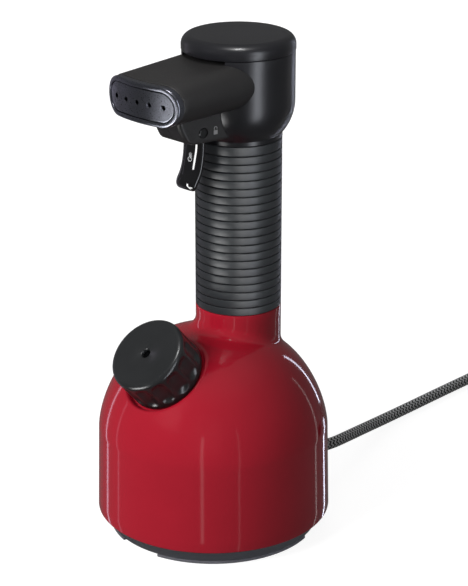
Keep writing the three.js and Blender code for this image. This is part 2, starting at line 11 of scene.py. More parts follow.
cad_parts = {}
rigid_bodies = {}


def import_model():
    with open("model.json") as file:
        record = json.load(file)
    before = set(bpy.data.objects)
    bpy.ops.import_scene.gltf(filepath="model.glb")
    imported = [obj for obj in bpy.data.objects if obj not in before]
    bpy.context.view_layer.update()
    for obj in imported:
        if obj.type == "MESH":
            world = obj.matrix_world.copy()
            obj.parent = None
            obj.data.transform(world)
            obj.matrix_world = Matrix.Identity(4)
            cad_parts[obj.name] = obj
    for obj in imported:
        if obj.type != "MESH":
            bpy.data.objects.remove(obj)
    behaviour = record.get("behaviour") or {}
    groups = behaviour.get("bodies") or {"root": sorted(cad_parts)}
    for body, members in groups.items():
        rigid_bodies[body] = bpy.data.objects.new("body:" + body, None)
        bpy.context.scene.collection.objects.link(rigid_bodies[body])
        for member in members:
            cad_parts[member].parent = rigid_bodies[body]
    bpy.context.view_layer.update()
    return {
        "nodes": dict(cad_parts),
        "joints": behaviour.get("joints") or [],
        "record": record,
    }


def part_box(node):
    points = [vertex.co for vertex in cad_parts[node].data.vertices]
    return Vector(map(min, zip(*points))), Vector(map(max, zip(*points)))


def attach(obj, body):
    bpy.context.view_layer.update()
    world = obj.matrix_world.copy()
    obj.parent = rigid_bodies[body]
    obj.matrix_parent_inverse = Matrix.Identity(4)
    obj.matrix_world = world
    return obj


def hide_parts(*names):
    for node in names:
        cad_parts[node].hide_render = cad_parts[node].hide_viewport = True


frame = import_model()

mm = 0.001
scene = bpy.context.scene
joints = {joint["name"]: joint for joint in frame["joints"]}


def boxMm(node):
    low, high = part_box(node)
    return Vector(low) / mm, Vector(high) / mm


# ---- camera, floor and light ----

studio = {
    "cameraPlace": (0.82838, -0.80658, 0.59002),
    "cameraDown": 20.8303,       # degrees below level
    "cameraTurn": 45.13,         # degrees about +Z
    "lens": 125.53,
    "floorHalf": 6.0,            # metres
    "floorColour": "#909090",
    "floorSeen": 0.9,            # added for the eye only
    "worldColour": "#FFFFFF",
    "horizon": 0.13,
    "sky": 0.16,
    "zenith": 0.1,
}


def linear(text):
    channels = [int(text[i:i + 2], 16) / 255 for i in (1, 3, 5)]
    turned = [c / 12.92 if c <= 0.04045 else ((c + 0.055) / 1.055) ** 2.4 for c in channels]
    return (*turned, 1.0)


def addNode(tree, kind, inputs=None, **settings):
    node = tree.nodes.new(kind)
    for name, value in settings.items():
        setattr(node, name, value)
    for name, value in (inputs or {}).items():
        if isinstance(value, bpy.types.NodeSocket):
            tree.links.new(value, node.inputs[name])
        else:
            node.inputs[name].default_value = value
    return node


def addCamera():
    camera = bpy.data.objects.new("camera", bpy.data.cameras.new("camera"))
    camera.data.sensor_fit = "VERTICAL"
    camera.data.sensor_height = 36
    camera.data.lens = studio["lens"]
    camera.data.clip_end = 50
    camera.location = studio["cameraPlace"]
    tilt = math.radians(90 - studio["cameraDown"])
    camera.rotation_euler = (tilt, 0, math.radians(studio["cameraTurn"]))
    scene.collection.objects.link(camera)
    scene.camera = camera


def addFloor():
    half = studio["floorHalf"]
    mesh = bpy.data.meshes.new("floor")
    mesh.from_pydata([(-half, -half, 0), (half, -half, 0), (half, half, 0), (-half, half, 0)], [],
        [(0, 1, 2, 3)])
    floor = bpy.data.objects.new("floor", mesh)
    floor.location.z = -0.0004
    floor.visible_glossy = False
    scene.collection.objects.link(floor)
    material = bpy.data.materials.new("paintedFloor")
    material.use_nodes = True
    tree = material.node_tree
    shader = tree.nodes["Principled BSDF"]
    shader.inputs["Base Color"].default_value = linear(studio["floorColour"])
    shader.inputs["Roughness"].default_value = 0.9
    shader.inputs["Specular IOR Level"].default_value = 0.1
    path = addNode(tree, "ShaderNodeLightPath")
    seen = addNode(tree, "ShaderNodeMath", {0: path.outputs["Is Camera Ray"], 1: studio["floorSeen"]},
        operation="MULTIPLY")
    glow = addNode(tree, "ShaderNodeEmission", {"Color": linear("#FFFFFF"), "Strength": seen.outputs[0]})
    both = addNode(tree, "ShaderNodeAddShader", {0: shader.outputs[0], 1: glow.outputs[0]})
    tree.links.new(both.outputs[0], tree.nodes["Material Output"].inputs["Surface"])
    mesh.materials.append(material)


def addSoftbox(name, bearing, distance, height, size, power, colour="#FFFFFF", mirrored=True):
    # bearing in degrees about +Z from +X; a box that isn't mirrored only lights
    data = bpy.data.lights.new(name, "AREA")
    data.shape = "RECTANGLE"
    data.size, data.size_y = size
    data.energy = power
    data.color = linear(colour)[:3]
    lamp = bpy.data.objects.new(name, data)
    turn = math.radians(bearing)
    lamp.location = (distance * math.cos(turn), distance * math.sin(turn), height)
    lamp.rotation_euler = (Vector((0, 0, 0.15)) - lamp.location).to_track_quat("-Z", "Y").to_euler()
    lamp.visible_glossy = mirrored
    scene.collection.objects.link(lamp)


def addWorld():
    # dim at the horizon and brighter overhead, with no edge to be mirrored
    world = bpy.data.worlds.new("studio")
    scene.world = world
    world.use_nodes = True
    tree = world.node_tree
    direction = addNode(tree, "ShaderNodeTexCoord").outputs["Generated"]
    height = addNode(tree, "ShaderNodeSeparateXYZ", {"Vector": direction}).outputs["Z"]
    low = addNode(tree, "ShaderNodeMapRange", {
        "Value": height, "From Min": 0.0, "From Max": 0.7, "To Min": studio["horizon"],
        "To Max": studio["sky"],
    }, interpolation_type="SMOOTHSTEP")
    high = addNode(tree, "ShaderNodeMapRange", {
        "Value": height, "From Min": 0.65, "From Max": 1.0, "To Min": 0.0, "To Max": studio["zenith"],
    }, interpolation_type="SMOOTHSTEP")
    total = addNode(tree, "ShaderNodeMath", {0: low.outputs[0], 1: high.outputs[0]}, operation="ADD")
    background = tree.nodes["Background"]
    background.inputs["Color"].default_value = linear(studio["worldColour"])
    tree.links.new(total.outputs[0], background.inputs["Strength"])


def addLight():
    addWorld()
    addSoftbox("keyLeft", -96, 1.3, 0.85, (0.7, 0.7), 23, mirrored=False)
    addSoftbox("fillFront", -50, 1.6, 0.6, (0.9, 0.9), 4.5, mirrored=False)
    addSoftbox("fillBack", 140, 1.6, 0.7, (0.9, 0.9), 9, mirrored=False)
    addSoftbox("stripMiddle", -20, 1.1, -0.1, (0.012, 1.4), 0.06)
    addSoftbox("stripNeck", -55, 1.1, 0.0, (0.05, 0.9), 0.12)
    addSoftbox("stripLeft", -150, 1.0, 0.0, (0.03, 1.4), 0.1, "#F0E6FF")
    addSoftbox("stripFarLeft", -172, 1.0, 0.0, (0.05, 1.4), 0.45, "#F0E6FF")
    addSoftbox("stripRight", 76, 1.1, -0.1, (0.015, 1.3), 0.16)
    addSoftbox("stripFarRight", 98, 1.1, -0.1, (0.04, 1.3), 1.3, "#E4E8FF")
    addSoftbox("blackFront", -6, 1.2, 0.15, (0.3, 1.4), 9, "#F2F6FF")
    addSoftbox("blackAbove", -45, 0.35, 1.3, (0.2, 0.2), 6.5)
    addSoftbox("blackLow", -96, 1.1, -0.42, (0.7, 0.5), 14)
    addSoftbox("gripFront", -34, 1.2, 0.1, (0.5, 1.2), 9)
    addSoftbox("triggerFront", -120, 1.0, -0.16, (0.14, 1.3), 9.5)


scene.view_settings.view_transform = "Standard"
addCamera()
addFloor()
addLight()
print("stage: camera, floor and light")


# ---- mesh helpers ----

def skin(rows, loop=False):
    # rows of points, each a ring or one point at a pole
    starts = np.cumsum([0] + [len(row) for row in rows])
    faces = []
    pairs = [(i, i + 1) for i in range(len(rows) - 1)] + ([(len(rows) - 1, 0)] if loop else [])
    for a, b in pairs:
        sizes = (len(rows[a]), len(rows[b]))
        for i in range(max(sizes)):
            j = (i + 1) % max(sizes)
            if sizes[0] == 1:
                faces.append((starts[a], starts[b] + j, starts[b] + i))
            elif sizes[1] == 1:
                faces.append((starts[a] + i, starts[a] + j, starts[b]))
            else:
                faces.append((starts[a] + i, starts[a] + j, starts[b] + j, starts[b] + i))
    points = np.array([tuple(p) for row in rows for p in row], float)
    return points, [tuple(int(k) for k in face) for face in faces]


def outward(part):
    # turns the faces of one closed shell round if they point in
    points, faces = part
    volume = 0.0
    for size in {len(face) for face in faces}:
        chosen = np.array([face for face in faces if len(face) == size], int)
        for k in range(1, size - 1):
            a, b, c = points[chosen[:, 0]], points[chosen[:, k]], points[chosen[:, k + 1]]
            volume += float(np.einsum("ij,ij->i", a, np.cross(b, c)).sum())
    return (points, faces) if volume > 0 else (points, [face[::-1] for face in faces])


def moved(part, matrix):
    points, faces = part
    turn = np.array(matrix.to_3x3())
    return points @ turn.T + np.array(matrix.translation), faces


def newPiece(name, parts, material, sharp=32):
    parts = [outward(part) for part in (parts if isinstance(parts, list) else [parts])]
    points, faces, count = [], [], 0
    for partPoints, partFaces in parts:
        points.append(partPoints * mm)
        faces += [tuple(k + count for k in face) for face in partFaces]
        count += len(partPoints)
    mesh = bpy.data.meshes.new(name)
    mesh.from_pydata(np.concatenate(points).tolist(), [], faces)
    bm = bmesh.new()
    bm.from_mesh(mesh)
    bmesh.ops.remove_doubles(bm, verts=bm.verts, dist=1e-6)
    bmesh.ops.dissolve_degenerate(bm, edges=bm.edges, dist=1e-7)
    bm.to_mesh(mesh)
    bm.free()
    mesh.materials.append(material)
    piece = bpy.data.objects.new(name, mesh)
    scene.collection.objects.link(piece)
    soften(piece, sharp)
    return piece


def soften(piece, sharp=32):
    piece.data.shade_smooth()
    piece.data.set_sharp_from_angle(angle=math.radians(sharp))


def settle(piece):
    # makes the evaluated result the piece's own plain mesh
    result = piece.evaluated_get(bpy.context.evaluated_depsgraph_get())
    mesh = bpy.data.meshes.new_from_object(result)
    piece.modifiers.clear()
    piece.data = mesh
    piece.data.name = piece.name


def carve(piece, *tools, how="DIFFERENCE", sharp=32):
    for tool in tools:
        modifier = piece.modifiers.new("carve", "BOOLEAN")
        modifier.operation = how
        modifier.solver = "EXACT"
        modifier.object = tool
        settle(piece)
        bpy.data.objects.remove(tool)
    soften(piece, sharp)
    return piece


def finish(piece, body, slot, *nodes):
    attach(piece, body)
    if nodes:
        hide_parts(*nodes)
    return piece


def ringAt(radius, z, sides, centre=(0, 0)):
    turns = np.linspace(0, 2 * math.pi, sides, endpoint=False)
    return np.stack([centre[0] + radius * np.cos(turns), centre[1] + radius * np.sin(turns),
        0 * turns + z], 1)


def turned(profile, sides, centre=(0, 0)):
    # a closed solid from [radius, height] pairs; a profile off the axis closes on itself
    rows = [ringAt(r, z, sides, centre) if r > 1e-6 else [(*centre, z)] for r, z in profile]
    return skin(rows, loop=profile[0][0] > 1e-6)


def rounded(corners, radius, steps=4):
    # a profile whose inner corners become arcs; each corner is [r, z] or [r, z, its own radius]
    result = []
    for i, corner in enumerate(corners):
        here = Vector(corner[:2])
        size = corner[2] if len(corner) > 2 else radius
        if i in (0, len(corners) - 1) or size == 0:
            result.append(tuple(here))
            continue
        back = (Vector(corners[i - 1][:2]) - here)
        ahead = (Vector(corners[i + 1][:2]) - here)
        reach = min(size, 0.49 * back.length, 0.49 * ahead.length)
        start, end = here + back.normalized() * reach, here + ahead.normalized() * reach
        for k in range(steps + 1):
            t = k / steps
            result.append(tuple(start * (1 - t) ** 2 + here * 2 * t * (1 - t) + end * t ** 2))
    return result


def smoothStep(t):
    t = np.clip(t, 0, 1)
    return t * t * (3 - 2 * t)


def slab(x0, x1, y0, y1, z0, z1):
    rows = [[(x0, y0, z), (x1, y0, z), (x1, y1, z), (x0, y1, z)] for z in (z0, z1)]
    points, faces = skin(rows)
    return points, faces + [(3, 2, 1, 0), (4, 5, 6, 7)]


def tool(part):
    return newPiece("tool", part, frame["nodes"]["trigger_pin"].data.materials[0])


def rod(radius, z0, z1, sides=32):
    return turned([(0, z0), (radius, z0), (radius, z1), (0, z1)], sides)


def alongX(part, y, z):
    return moved(part, Matrix.Translation((0, y, z)) @ Matrix.Rotation(math.pi / 2, 4, "Y"))


def alongY(part, x, z):
    # local height becomes -Y
    return moved(part, Matrix.Translation((x, 0, z)) @ Matrix.Rotation(math.pi / 2, 4, "X"))


# ---- materials ----

def startMaterial(name):
    material = bpy.data.materials.new(name)
    material.use_nodes = True
    tree = material.node_tree
    return material, tree, tree.nodes["Principled BSDF"]


def grainNoise(tree, sizeMm, detail=2.0, roughness=0.5):
    # noise on object coordinates whose features are about this size
    place = addNode(tree, "ShaderNodeTexCoord").outputs["Object"]
    return addNode(tree, "ShaderNodeTexNoise", {
        "Vector": place, "Scale": 1 / (sizeMm * mm), "Detail": detail, "Roughness": roughness,
    }).outputs["Fac"]


def spread(tree, value, low, high):
    # remaps noise, which lies mostly between 0.3 and 0.7
    return addNode(tree, "ShaderNodeMapRange", {
        "Value": value, "From Min": 0.3, "From Max": 0.7, "To Min": low, "To Max": high,
    }).outputs["Result"]


def mouldedPlastic(name, look):
    # colour drifts a little over a hand's width, and the tool's grain gives the roughness and bump
    material, tree, shader = startMaterial(name)
    drift = spread(tree, grainNoise(tree, look["driftMm"]), 0, 1)
    colour = addNode(tree, "ShaderNodeMix", {
        0: drift, 6: linear(look["colour"]), 7: linear(look["drift"]),
    }, data_type="RGBA")
    grain = grainNoise(tree, look["grainMm"], 3.0, 0.6)
    gloss = spread(tree, grain, look["roughness"] - look["spread"], look["roughness"] + look["spread"])
    bump = addNode(tree, "ShaderNodeBump", {
        "Height": grain, "Strength": look["bump"], "Distance": look["grainDepthMm"] * mm,
    })
    tree.links.new(colour.outputs[2], shader.inputs["Base Color"])
    tree.links.new(gloss, shader.inputs["Roughness"])
    tree.links.new(bump.outputs["Normal"], shader.inputs["Normal"])
    shader.inputs["IOR"].default_value = look["ior"]
    if "coat" in look:
        shader.inputs["Coat Weight"].default_value = look["coat"]
        shader.inputs["Coat Roughness"].default_value = look["coatRoughness"]
    return material


# gloss ABS from a polished tool: sharp reflections over a deep red, with faint moulding waves
redGlossAbs = mouldedPlastic("redGlossAbs", {
    "colour": "#A5182A", "drift": "#9D1627", "driftMm": 55, "grainMm": 7, "grainDepthMm": 0.02,
    "roughness": 0.09, "spread": 0.015, "bump": 0.25, "ior": 1.54,
})

# glass-filled nylon from a fine spark-eroded tool: dark, with a soft broad sheen
satinNylon = mouldedPlastic("satinNylon", {
    "colour": "#17171A", "drift": "#1B1B1E", "driftMm": 40, "grainMm": 0.8, "grainDepthMm": 0.03,
    "roughness": 0.31, "spread": 0.03, "bump": 0.3, "ior": 1.5,
})

# nylon with a coarser grain: the nozzle scatters nearly all its shine
mattNylon = mouldedPlastic("mattNylon", {
    "colour": "#1E1D1D", "drift": "#232222", "driftMm": 30, "grainMm": 0.9, "grainDepthMm": 0.05,
    "roughness": 0.5, "spread": 0.04, "bump": 0.4, "ior": 1.5,
})

# semi-gloss ABS of the filler cap and small parts
semiGlossAbs = mouldedPlastic("semiGlossAbs", {
    "colour": "#1B1C1D", "drift": "#1F2021", "driftMm": 25, "grainMm": 1.6, "grainDepthMm": 0.01,
    "roughness": 0.3, "spread": 0.015, "bump": 0.12, "ior": 1.52,
})

# thermoplastic rubber over the grip: soft, grey-black, with a fine skin
gripRubber = mouldedPlastic("gripRubber", {
    "colour": "#222426", "drift": "#26282A", "driftMm": 30, "grainMm": 0.7, "grainDepthMm": 0.04,
    "roughness": 0.42, "spread": 0.05, "bump": 0.45, "ior": 1.48,
})

# near-black rubber at the bottom of the grip's grooves: its colour is painted shade for the narrow grooves
grooveRubber = mouldedPlastic("grooveRubber", {
    "colour": "#08090A", "drift": "#0A0B0C", "driftMm": 20, "grainMm": 0.8, "grainDepthMm": 0.04,
    "roughness": 0.8, "spread": 0.04, "bump": 0.3, "ior": 1.45,
})

# polypropylene base ring: a flat mid grey
basePolypropylene = mouldedPlastic("basePolypropylene", {
    "colour": "#45464B", "drift": "#4A4B50", "driftMm": 35, "grainMm": 1.1, "grainDepthMm": 0.04,
    "roughness": 0.55, "spread": 0.05, "bump": 0.4, "ior": 1.49,
})

# soft rubber feet
footRubber = mouldedPlastic("footRubber", {
    "colour": "#55555A", "drift": "#5B5B61", "driftMm": 12, "grainMm": 0.9, "grainDepthMm": 0.08,
    "roughness": 0.75, "spread": 0.05, "bump": 0.5, "ior": 1.45,
})

# high-gloss ABS of the trigger: nearly black, mirror clear
pianoAbs = mouldedPlastic("pianoAbs", {
    "colour": "#060608", "drift": "#08080B", "driftMm": 15, "grainMm": 5, "grainDepthMm": 0.01,
    "roughness": 0.06, "spread": 0.01, "bump": 0.2, "ior": 1.54, "coat": 0.4, "coatRoughness": 0.03,
})

# soft PVC of the plug and the strain relief
mouldedPvc = mouldedPlastic("mouldedPvc", {
    "colour": "#151617", "drift": "#1B1C1D", "driftMm": 15, "grainMm": 0.8, "grainDepthMm": 0.04,
    "roughness": 0.48, "spread": 0.05, "bump": 0.35, "ior": 1.53,
})

# pad-printed pale ink on the small signs
printedInk = mouldedPlastic("printedInk", {
    "colour": "#C9CACC", "drift": "#BDBEC1", "driftMm": 3, "grainMm": 0.4, "grainDepthMm": 0.01,
    "roughness": 0.45, "spread": 0.05, "bump": 0.2, "ior": 1.5,
})

# silicone rubber of the inner seals and duct
mouldedSilicone = mouldedPlastic("mouldedSilicone", {
    "colour": "#B9BCB8", "drift": "#C4C6C2", "driftMm": 10, "grainMm": 0.8, "grainDepthMm": 0.03,
    "roughness": 0.6, "spread": 0.05, "bump": 0.3, "ior": 1.42,
})

# solder mask of the control board
solderMask = mouldedPlastic("solderMask", {
    "colour": "#1F5A3A", "drift": "#246645", "driftMm": 6, "grainMm": 0.6, "grainDepthMm": 0.01,
    "roughness": 0.35, "spread": 0.05, "bump": 0.2, "ior": 1.5,
})


def bareMetal(name, look):
    # fine lines or pits break up the reflection, and the tone drifts slightly
    material, tree, shader = startMaterial(name)
    place = addNode(tree, "ShaderNodeTexCoord").outputs["Object"]
    stretched = addNode(tree, "ShaderNodeMapping", {"Vector": place, "Scale": look["stretch"]})
    grain = addNode(tree, "ShaderNodeTexNoise", {
        "Vector": stretched.outputs["Vector"], "Scale": 1 / (look["grainMm"] * mm), "Detail": 3.0,
    }).outputs["Fac"]
    drift = spread(tree, grainNoise(tree, look["driftMm"]), 0, 1)
    colour = addNode(tree, "ShaderNodeMix", {
        0: drift, 6: linear(look["colour"]), 7: linear(look["drift"]),
    }, data_type="RGBA")
    gloss = spread(tree, grain, look["roughness"] - look["spread"], look["roughness"] + look["spread"])
    bump = addNode(tree, "ShaderNodeBump", {
        "Height": grain, "Strength": look["bump"], "Distance": look["grainDepthMm"] * mm,
    })
    tree.links.new(colour.outputs[2], shader.inputs["Base Color"])
    tree.links.new(gloss, shader.inputs["Roughness"])
    tree.links.new(bump.outputs["Normal"], shader.inputs["Normal"])
    shader.inputs["Metallic"].default_value = look["metallic"]
    return material


# physical-vapour-coated steel plate and rim: violet-grey, blasted before coating
gunmetalSteel = bareMetal("gunmetalSteel", {
    "colour": "#74767E", "drift": "#7A7C86", "driftMm": 20, "grainMm": 0.5, "grainDepthMm": 0.02,
    "stretch": (1, 1, 1), "roughness": 0.3, "spread": 0.04, "bump": 0.3, "metallic": 1.0,
})

# die-cast aluminium of the boiler: pale, with a cast skin
castAluminium = bareMetal("castAluminium", {
    "colour": "#B4B7BA", "drift": "#A6A9AD", "driftMm": 12, "grainMm": 1.2, "grainDepthMm": 0.1,
    "stretch": (1, 1, 1), "roughness": 0.45, "spread": 0.08, "bump": 0.5, "metallic": 1.0,
})

# zinc-plated steel of screws, pins and pipe
zincSteel = bareMetal("zincSteel", {
    "colour": "#A6A9AD", "drift": "#B4B6B6", "driftMm": 5, "grainMm": 0.8, "grainDepthMm": 0.02,
    "stretch": (1, 1, 6), "roughness": 0.3, "spread": 0.06, "bump": 0.3, "metallic": 1.0,
})

# steel of the pressure pin, coloured near black as painted shade down the hole in the cap
blackenedSteel = bareMetal("blackenedSteel", {
    "colour": "#242527", "drift": "#2A2B2E", "driftMm": 4, "grainMm": 0.6, "grainDepthMm": 0.01,
    "stretch": (1, 1, 4), "roughness": 0.42, "spread": 0.05, "bump": 0.2, "metallic": 1.0,
})

# turned brass: fine rings from the lathe
turnedBrass = bareMetal("turnedBrass", {
    "colour": "#B6924A", "drift": "#A98641", "driftMm": 8, "grainMm": 0.9, "grainDepthMm": 0.02,
    "stretch": (1, 1, 8), "roughness": 0.32, "spread": 0.06, "bump": 0.3, "metallic": 1.0,
})
print("materials made")


# ---- mains cord: 1.8 m of braided flex, out of the back and wound away behind ----

cordShape = {
    "diameter": 7.5,
    "exit": (0, 99.0, 15.23),
    "route": [
        (0, 99.0, 15.23), (0, 100.6, 15), (-0.4, 112, 13.8), (-4.2, 130, 11.2), (-9.2, 150, 8),
        (-13.3, 170, 5.4),
        (-15.7, 190, 4.1), (-16.9, 212, 3.8), (-17.9, 236, 3.8), (-18.8, 262, 3.8), (-19.5, 290.7, 3.8),
        (-19.5, 306, 3.8),
    ],
    "coilCentre": (31, 322),
    "turnRadii": [50.5, 43, 35.5, 35.5, 43, 50.5, 50.5],
    "turns": 5.5,
    "pointsPerTurn": 48,
    "climb": (2.6, 2.82),        # where it rises onto the second layer, in turns
    "tail": [(81.5, 306, 11.25), (81.5, 290.7, 11.3), (81.5, 281, 11.7), (81.5, 272, 12), (81.5, 262.3, 12),
             (81.5, 259, 12)],
    "sides": 24,
    "step": 2.2,
    "chevronMm": 3.4,            # along the cord, from one pale thread to the next
    "chevronsAround": 8,
    "threadMm": 0.55,
}


def coilPoint(turn):
    whole = int(turn)
    radii = cordShape["turnRadii"]
    shift = smoothStep((turn - whole - 0.82) / 0.18)
    radius = radii[whole] + (radii[min(whole + 1, len(radii) - 1)] - radii[whole]) * shift
    low = cordShape["diameter"] / 2 + 0.05
    start, end = cordShape["climb"]
    height = low + cordShape["diameter"] * smoothStep((turn - start) / (end - start))
    angle = math.pi - 2 * math.pi * turn
    x, y = cordShape["coilCentre"]
    return (x + radius * math.cos(angle), y + radius * math.sin(angle), float(height))


def between(a, b, ta, tb, t):
    return a * (tb - t) / (tb - ta) + b * (t - ta) / (tb - ta)


def throughPoints(points, step):
    # a centripetal Catmull-Rom curve through the points, sampled about every step
    knots = [np.array(p, float) for p in points]
    knots = [2 * knots[0] - knots[1]] + knots + [2 * knots[-1] - knots[-2]]
    line = []
    for k in range(1, len(knots) - 2):
        p = knots[k - 1:k + 3]
        t = np.cumsum([0] + [np.linalg.norm(p[i + 1] - p[i]) ** 0.5 for i in range(3)])
        count = max(1, int(round(np.linalg.norm(p[2] - p[1]) / step)))
        for at in np.linspace(t[1], t[2], count, endpoint=False):
            first = [between(p[i], p[i + 1], t[i], t[i + 1], at) for i in range(3)]
            second = [between(first[i], first[i + 1], t[i], t[i + 2], at) for i in range(2)]
            line.append(between(second[0], second[1], t[1], t[2], at))
    return np.array(line + [knots[-2]])


def sweep(line, radius, sides):
    # rings along the line that don't twist, closed at both ends
    tangents = np.gradient(line, axis=0)
    tangents /= np.linalg.norm(tangents, axis=1)[:, None]
    side = np.cross(tangents[0], (0, 0, 1.0))
    side /= np.linalg.norm(side)
    turns = np.linspace(0, 2 * math.pi, sides, endpoint=False)
    rows = [[tuple(line[0])]]
    for point, tangent in zip(line, tangents):
        side = side - tangent * side.dot(tangent)
        side /= np.linalg.norm(side)
        up = np.cross(side, tangent)
        rows.append(point + radius * (np.outer(np.cos(turns), side) + np.outer(np.sin(turns), up)))
    rows.append([tuple(line[-1])])
    return rows


def braidedFlex():
    # textile braid over rubber: pale threads cross a black braid in zigzags, and each thread stands up
    material, tree, shader = startMaterial("braidedFlex")
    uv = addNode(tree, "ShaderNodeUVMap", uv_map="flex").outputs["UV"]
    parts = addNode(tree, "ShaderNodeSeparateXYZ", {"Vector": uv})
    columns = addNode(tree, "ShaderNodeMath", {
        0: parts.outputs["X"], 1: cordShape["chevronsAround"],
    }, operation="MULTIPLY")
    zigzag = addNode(tree, "ShaderNodeMath", {0: columns.outputs[0], 1: 0.5}, operation="PINGPONG")
    along = addNode(tree, "ShaderNodeMath", {
        0: parts.outputs["Y"], 1: cordShape["chevronMm"] * mm,
    }, operation="DIVIDE")
    leaning = addNode(tree, "ShaderNodeMath", {
        0: zigzag.outputs[0], 1: 1.2, 2: along.outputs[0],
    }, operation="MULTIPLY_ADD")
    cycle = addNode(tree, "ShaderNodeMath", {0: leaning.outputs[0], 1: 0.5}, operation="PINGPONG")
    pale = addNode(tree, "ShaderNodeMapRange", {
        "Value": cycle.outputs[0], "From Min": 0.22, "From Max": 0.28, "To Min": 0, "To Max": 1,
    }).outputs["Result"]
    threads = addNode(tree, "ShaderNodeMath", {
        0: parts.outputs["Y"], 1: cordShape["threadMm"] * mm,
    }, operation="DIVIDE")
    crossing = addNode(tree, "ShaderNodeMath", {
        0: zigzag.outputs[0], 1: 4.0, 2: threads.outputs[0],
    }, operation="MULTIPLY_ADD")
    ridge = addNode(tree, "ShaderNodeMath", {0: crossing.outputs[0], 1: 0.5}, operation="PINGPONG")
    fuzz = grainNoise(tree, 0.7, 2.0)
    paleTone = addNode(tree, "ShaderNodeMix", {
        0: fuzz, 6: linear("#A4A7A9"), 7: linear("#DADCDC"),
    }, data_type="RGBA")
    darkTone = addNode(tree, "ShaderNodeMix", {
        0: fuzz, 6: linear("#030303"), 7: linear("#0C0C0D"),
    }, data_type="RGBA")
    colour = addNode(tree, "ShaderNodeMix", {
        0: pale, 6: darkTone.outputs[2], 7: paleTone.outputs[2],
    }, data_type="RGBA")
    height = addNode(tree, "ShaderNodeMath", {0: ridge.outputs[0], 1: 1.2, 2: pale}, operation="MULTIPLY_ADD")
    bump = addNode(tree, "ShaderNodeBump", {
        "Height": height.outputs[0], "Strength": 0.6, "Distance": 0.25 * mm,
    })
    tree.links.new(colour.outputs[2], shader.inputs["Base Color"])
    tree.links.new(bump.outputs["Normal"], shader.inputs["Normal"])
    shader.inputs["Roughness"].default_value = 0.85
    shader.inputs["Sheen Weight"].default_value = 0.15
    return material


def makeCord():
    steps = int(cordShape["turns"] * cordShape["pointsPerTurn"])
    coil = [coilPoint(k / cordShape["pointsPerTurn"]) for k in range(steps + 1)]
    line = throughPoints(cordShape["route"] + coil + cordShape["tail"], cordShape["step"])
    sides = cordShape["sides"]
    points, faces = skin(sweep(line, cordShape["diameter"] / 2, sides))
    mesh = bpy.data.meshes.new("mainsCord")
    mesh.from_pydata((points * mm).tolist(), [], faces)
    lengths = np.concatenate([[0], np.cumsum(np.linalg.norm(np.diff(line, axis=0), axis=1))]) * mm
    layer = mesh.uv_layers.new(name="flex")
    flat = []
    for face in faces:
        spots = [((k - 1) % sides, min(max((k - 1) // sides, 0), len(line) - 1)) for k in face]
        wraps = {spot[0] for spot in spots} >= {0, sides - 1}
        for side, ring in spots:
            flat += [(side + (sides if wraps and side == 0 else 0)) / sides, lengths[ring]]
    layer.data.foreach_set("uv", flat)
    mesh.materials.append(braidedFlex())
    cord = bpy.data.objects.new("mainsCord", mesh)
    scene.collection.objects.link(cord)
    soften(cord, 60)
    return cord, line, float(lengths[-1])


mainsCord, cordLine, cordLength = makeCord()
print(f"cord: {cordLength:.3f} m, {len(mainsCord.data.polygons)} faces")
finish(mainsCord, "housing", "braid", "cord", "cord_coil", "cord_tail")


# ---- strain relief, plug and tie ----

reliefShape = {
    "start": (0, 66, 19),
    "down": 6.5,                 # degrees below level
    "flange": 7.6,
    "radius": 6.0,
    "tip": 4.75,
    "length": 34.5,
    "ribs": 8,
    "ribDepth": 0.7,
}


def onOutlet(part):
    # local height runs out along the cord
    turn = Matrix.Rotation(-math.radians(90 + reliefShape["down"]), 4, "X")
    return moved(part, Matrix.Translation(reliefShape["start"]) @ turn)


def makeRelief():
    length, tip, wide = reliefShape["length"], reliefShape["tip"], reliefShape["radius"]
    profile = [(0, -0.2), (reliefShape["flange"], -0.2), (reliefShape["flange"], 2.2), (wide, 2.2), (wide, 8)]
    first, last = 9.0, length - 3.0
    pitch = (last - first) / reliefShape["ribs"]
    for k in range(reliefShape["ribs"]):
        for share, deep in ((0.0, 0), (0.5, 0), (0.62, 1), (0.88, 1)):
            z = first + pitch * (k + share)
            size = wide + (tip - wide) * (z - 8) / (length - 8)
            profile.append((size - deep * reliefShape["ribDepth"], z))
    bore = cordShape["diameter"] / 2 + 0.05
    profile += [(tip, last), (tip, length - 0.5), (tip - 0.5, length), (bore, length), (bore, length - 4)]
    profile += [(0, length - 4)]
    return newPiece("strainRelief", onOutlet(turned(rounded(profile, 0.35, 2), 48)), mouldedPvc)


strainRelief = finish(makeRelief(), "housing", "black_plastic", "strain_relief")

plugShape = {
    "halfWidth": 13,
    "halfHeight": 12,
    "front": 224,
    "back": 262,
    "grips": 5,
}


def boxRing(halfWidth, halfHeight, corner, y, centre, steps=6):
    # a rounded rectangle in X and Z
    ring = []
    for quarter, (sx, sz) in enumerate(((1, 1), (-1, 1), (-1, -1), (1, -1))):
        for k in range(steps + 1):
            angle = (quarter + k / steps) * math.pi / 2
            x = sx * (halfWidth - corner) + corner * math.cos(angle)
            z = sz * (halfHeight - corner) + corner * math.sin(angle)
            ring.append((centre[0] + x, y, centre[1] + z))
    return ring


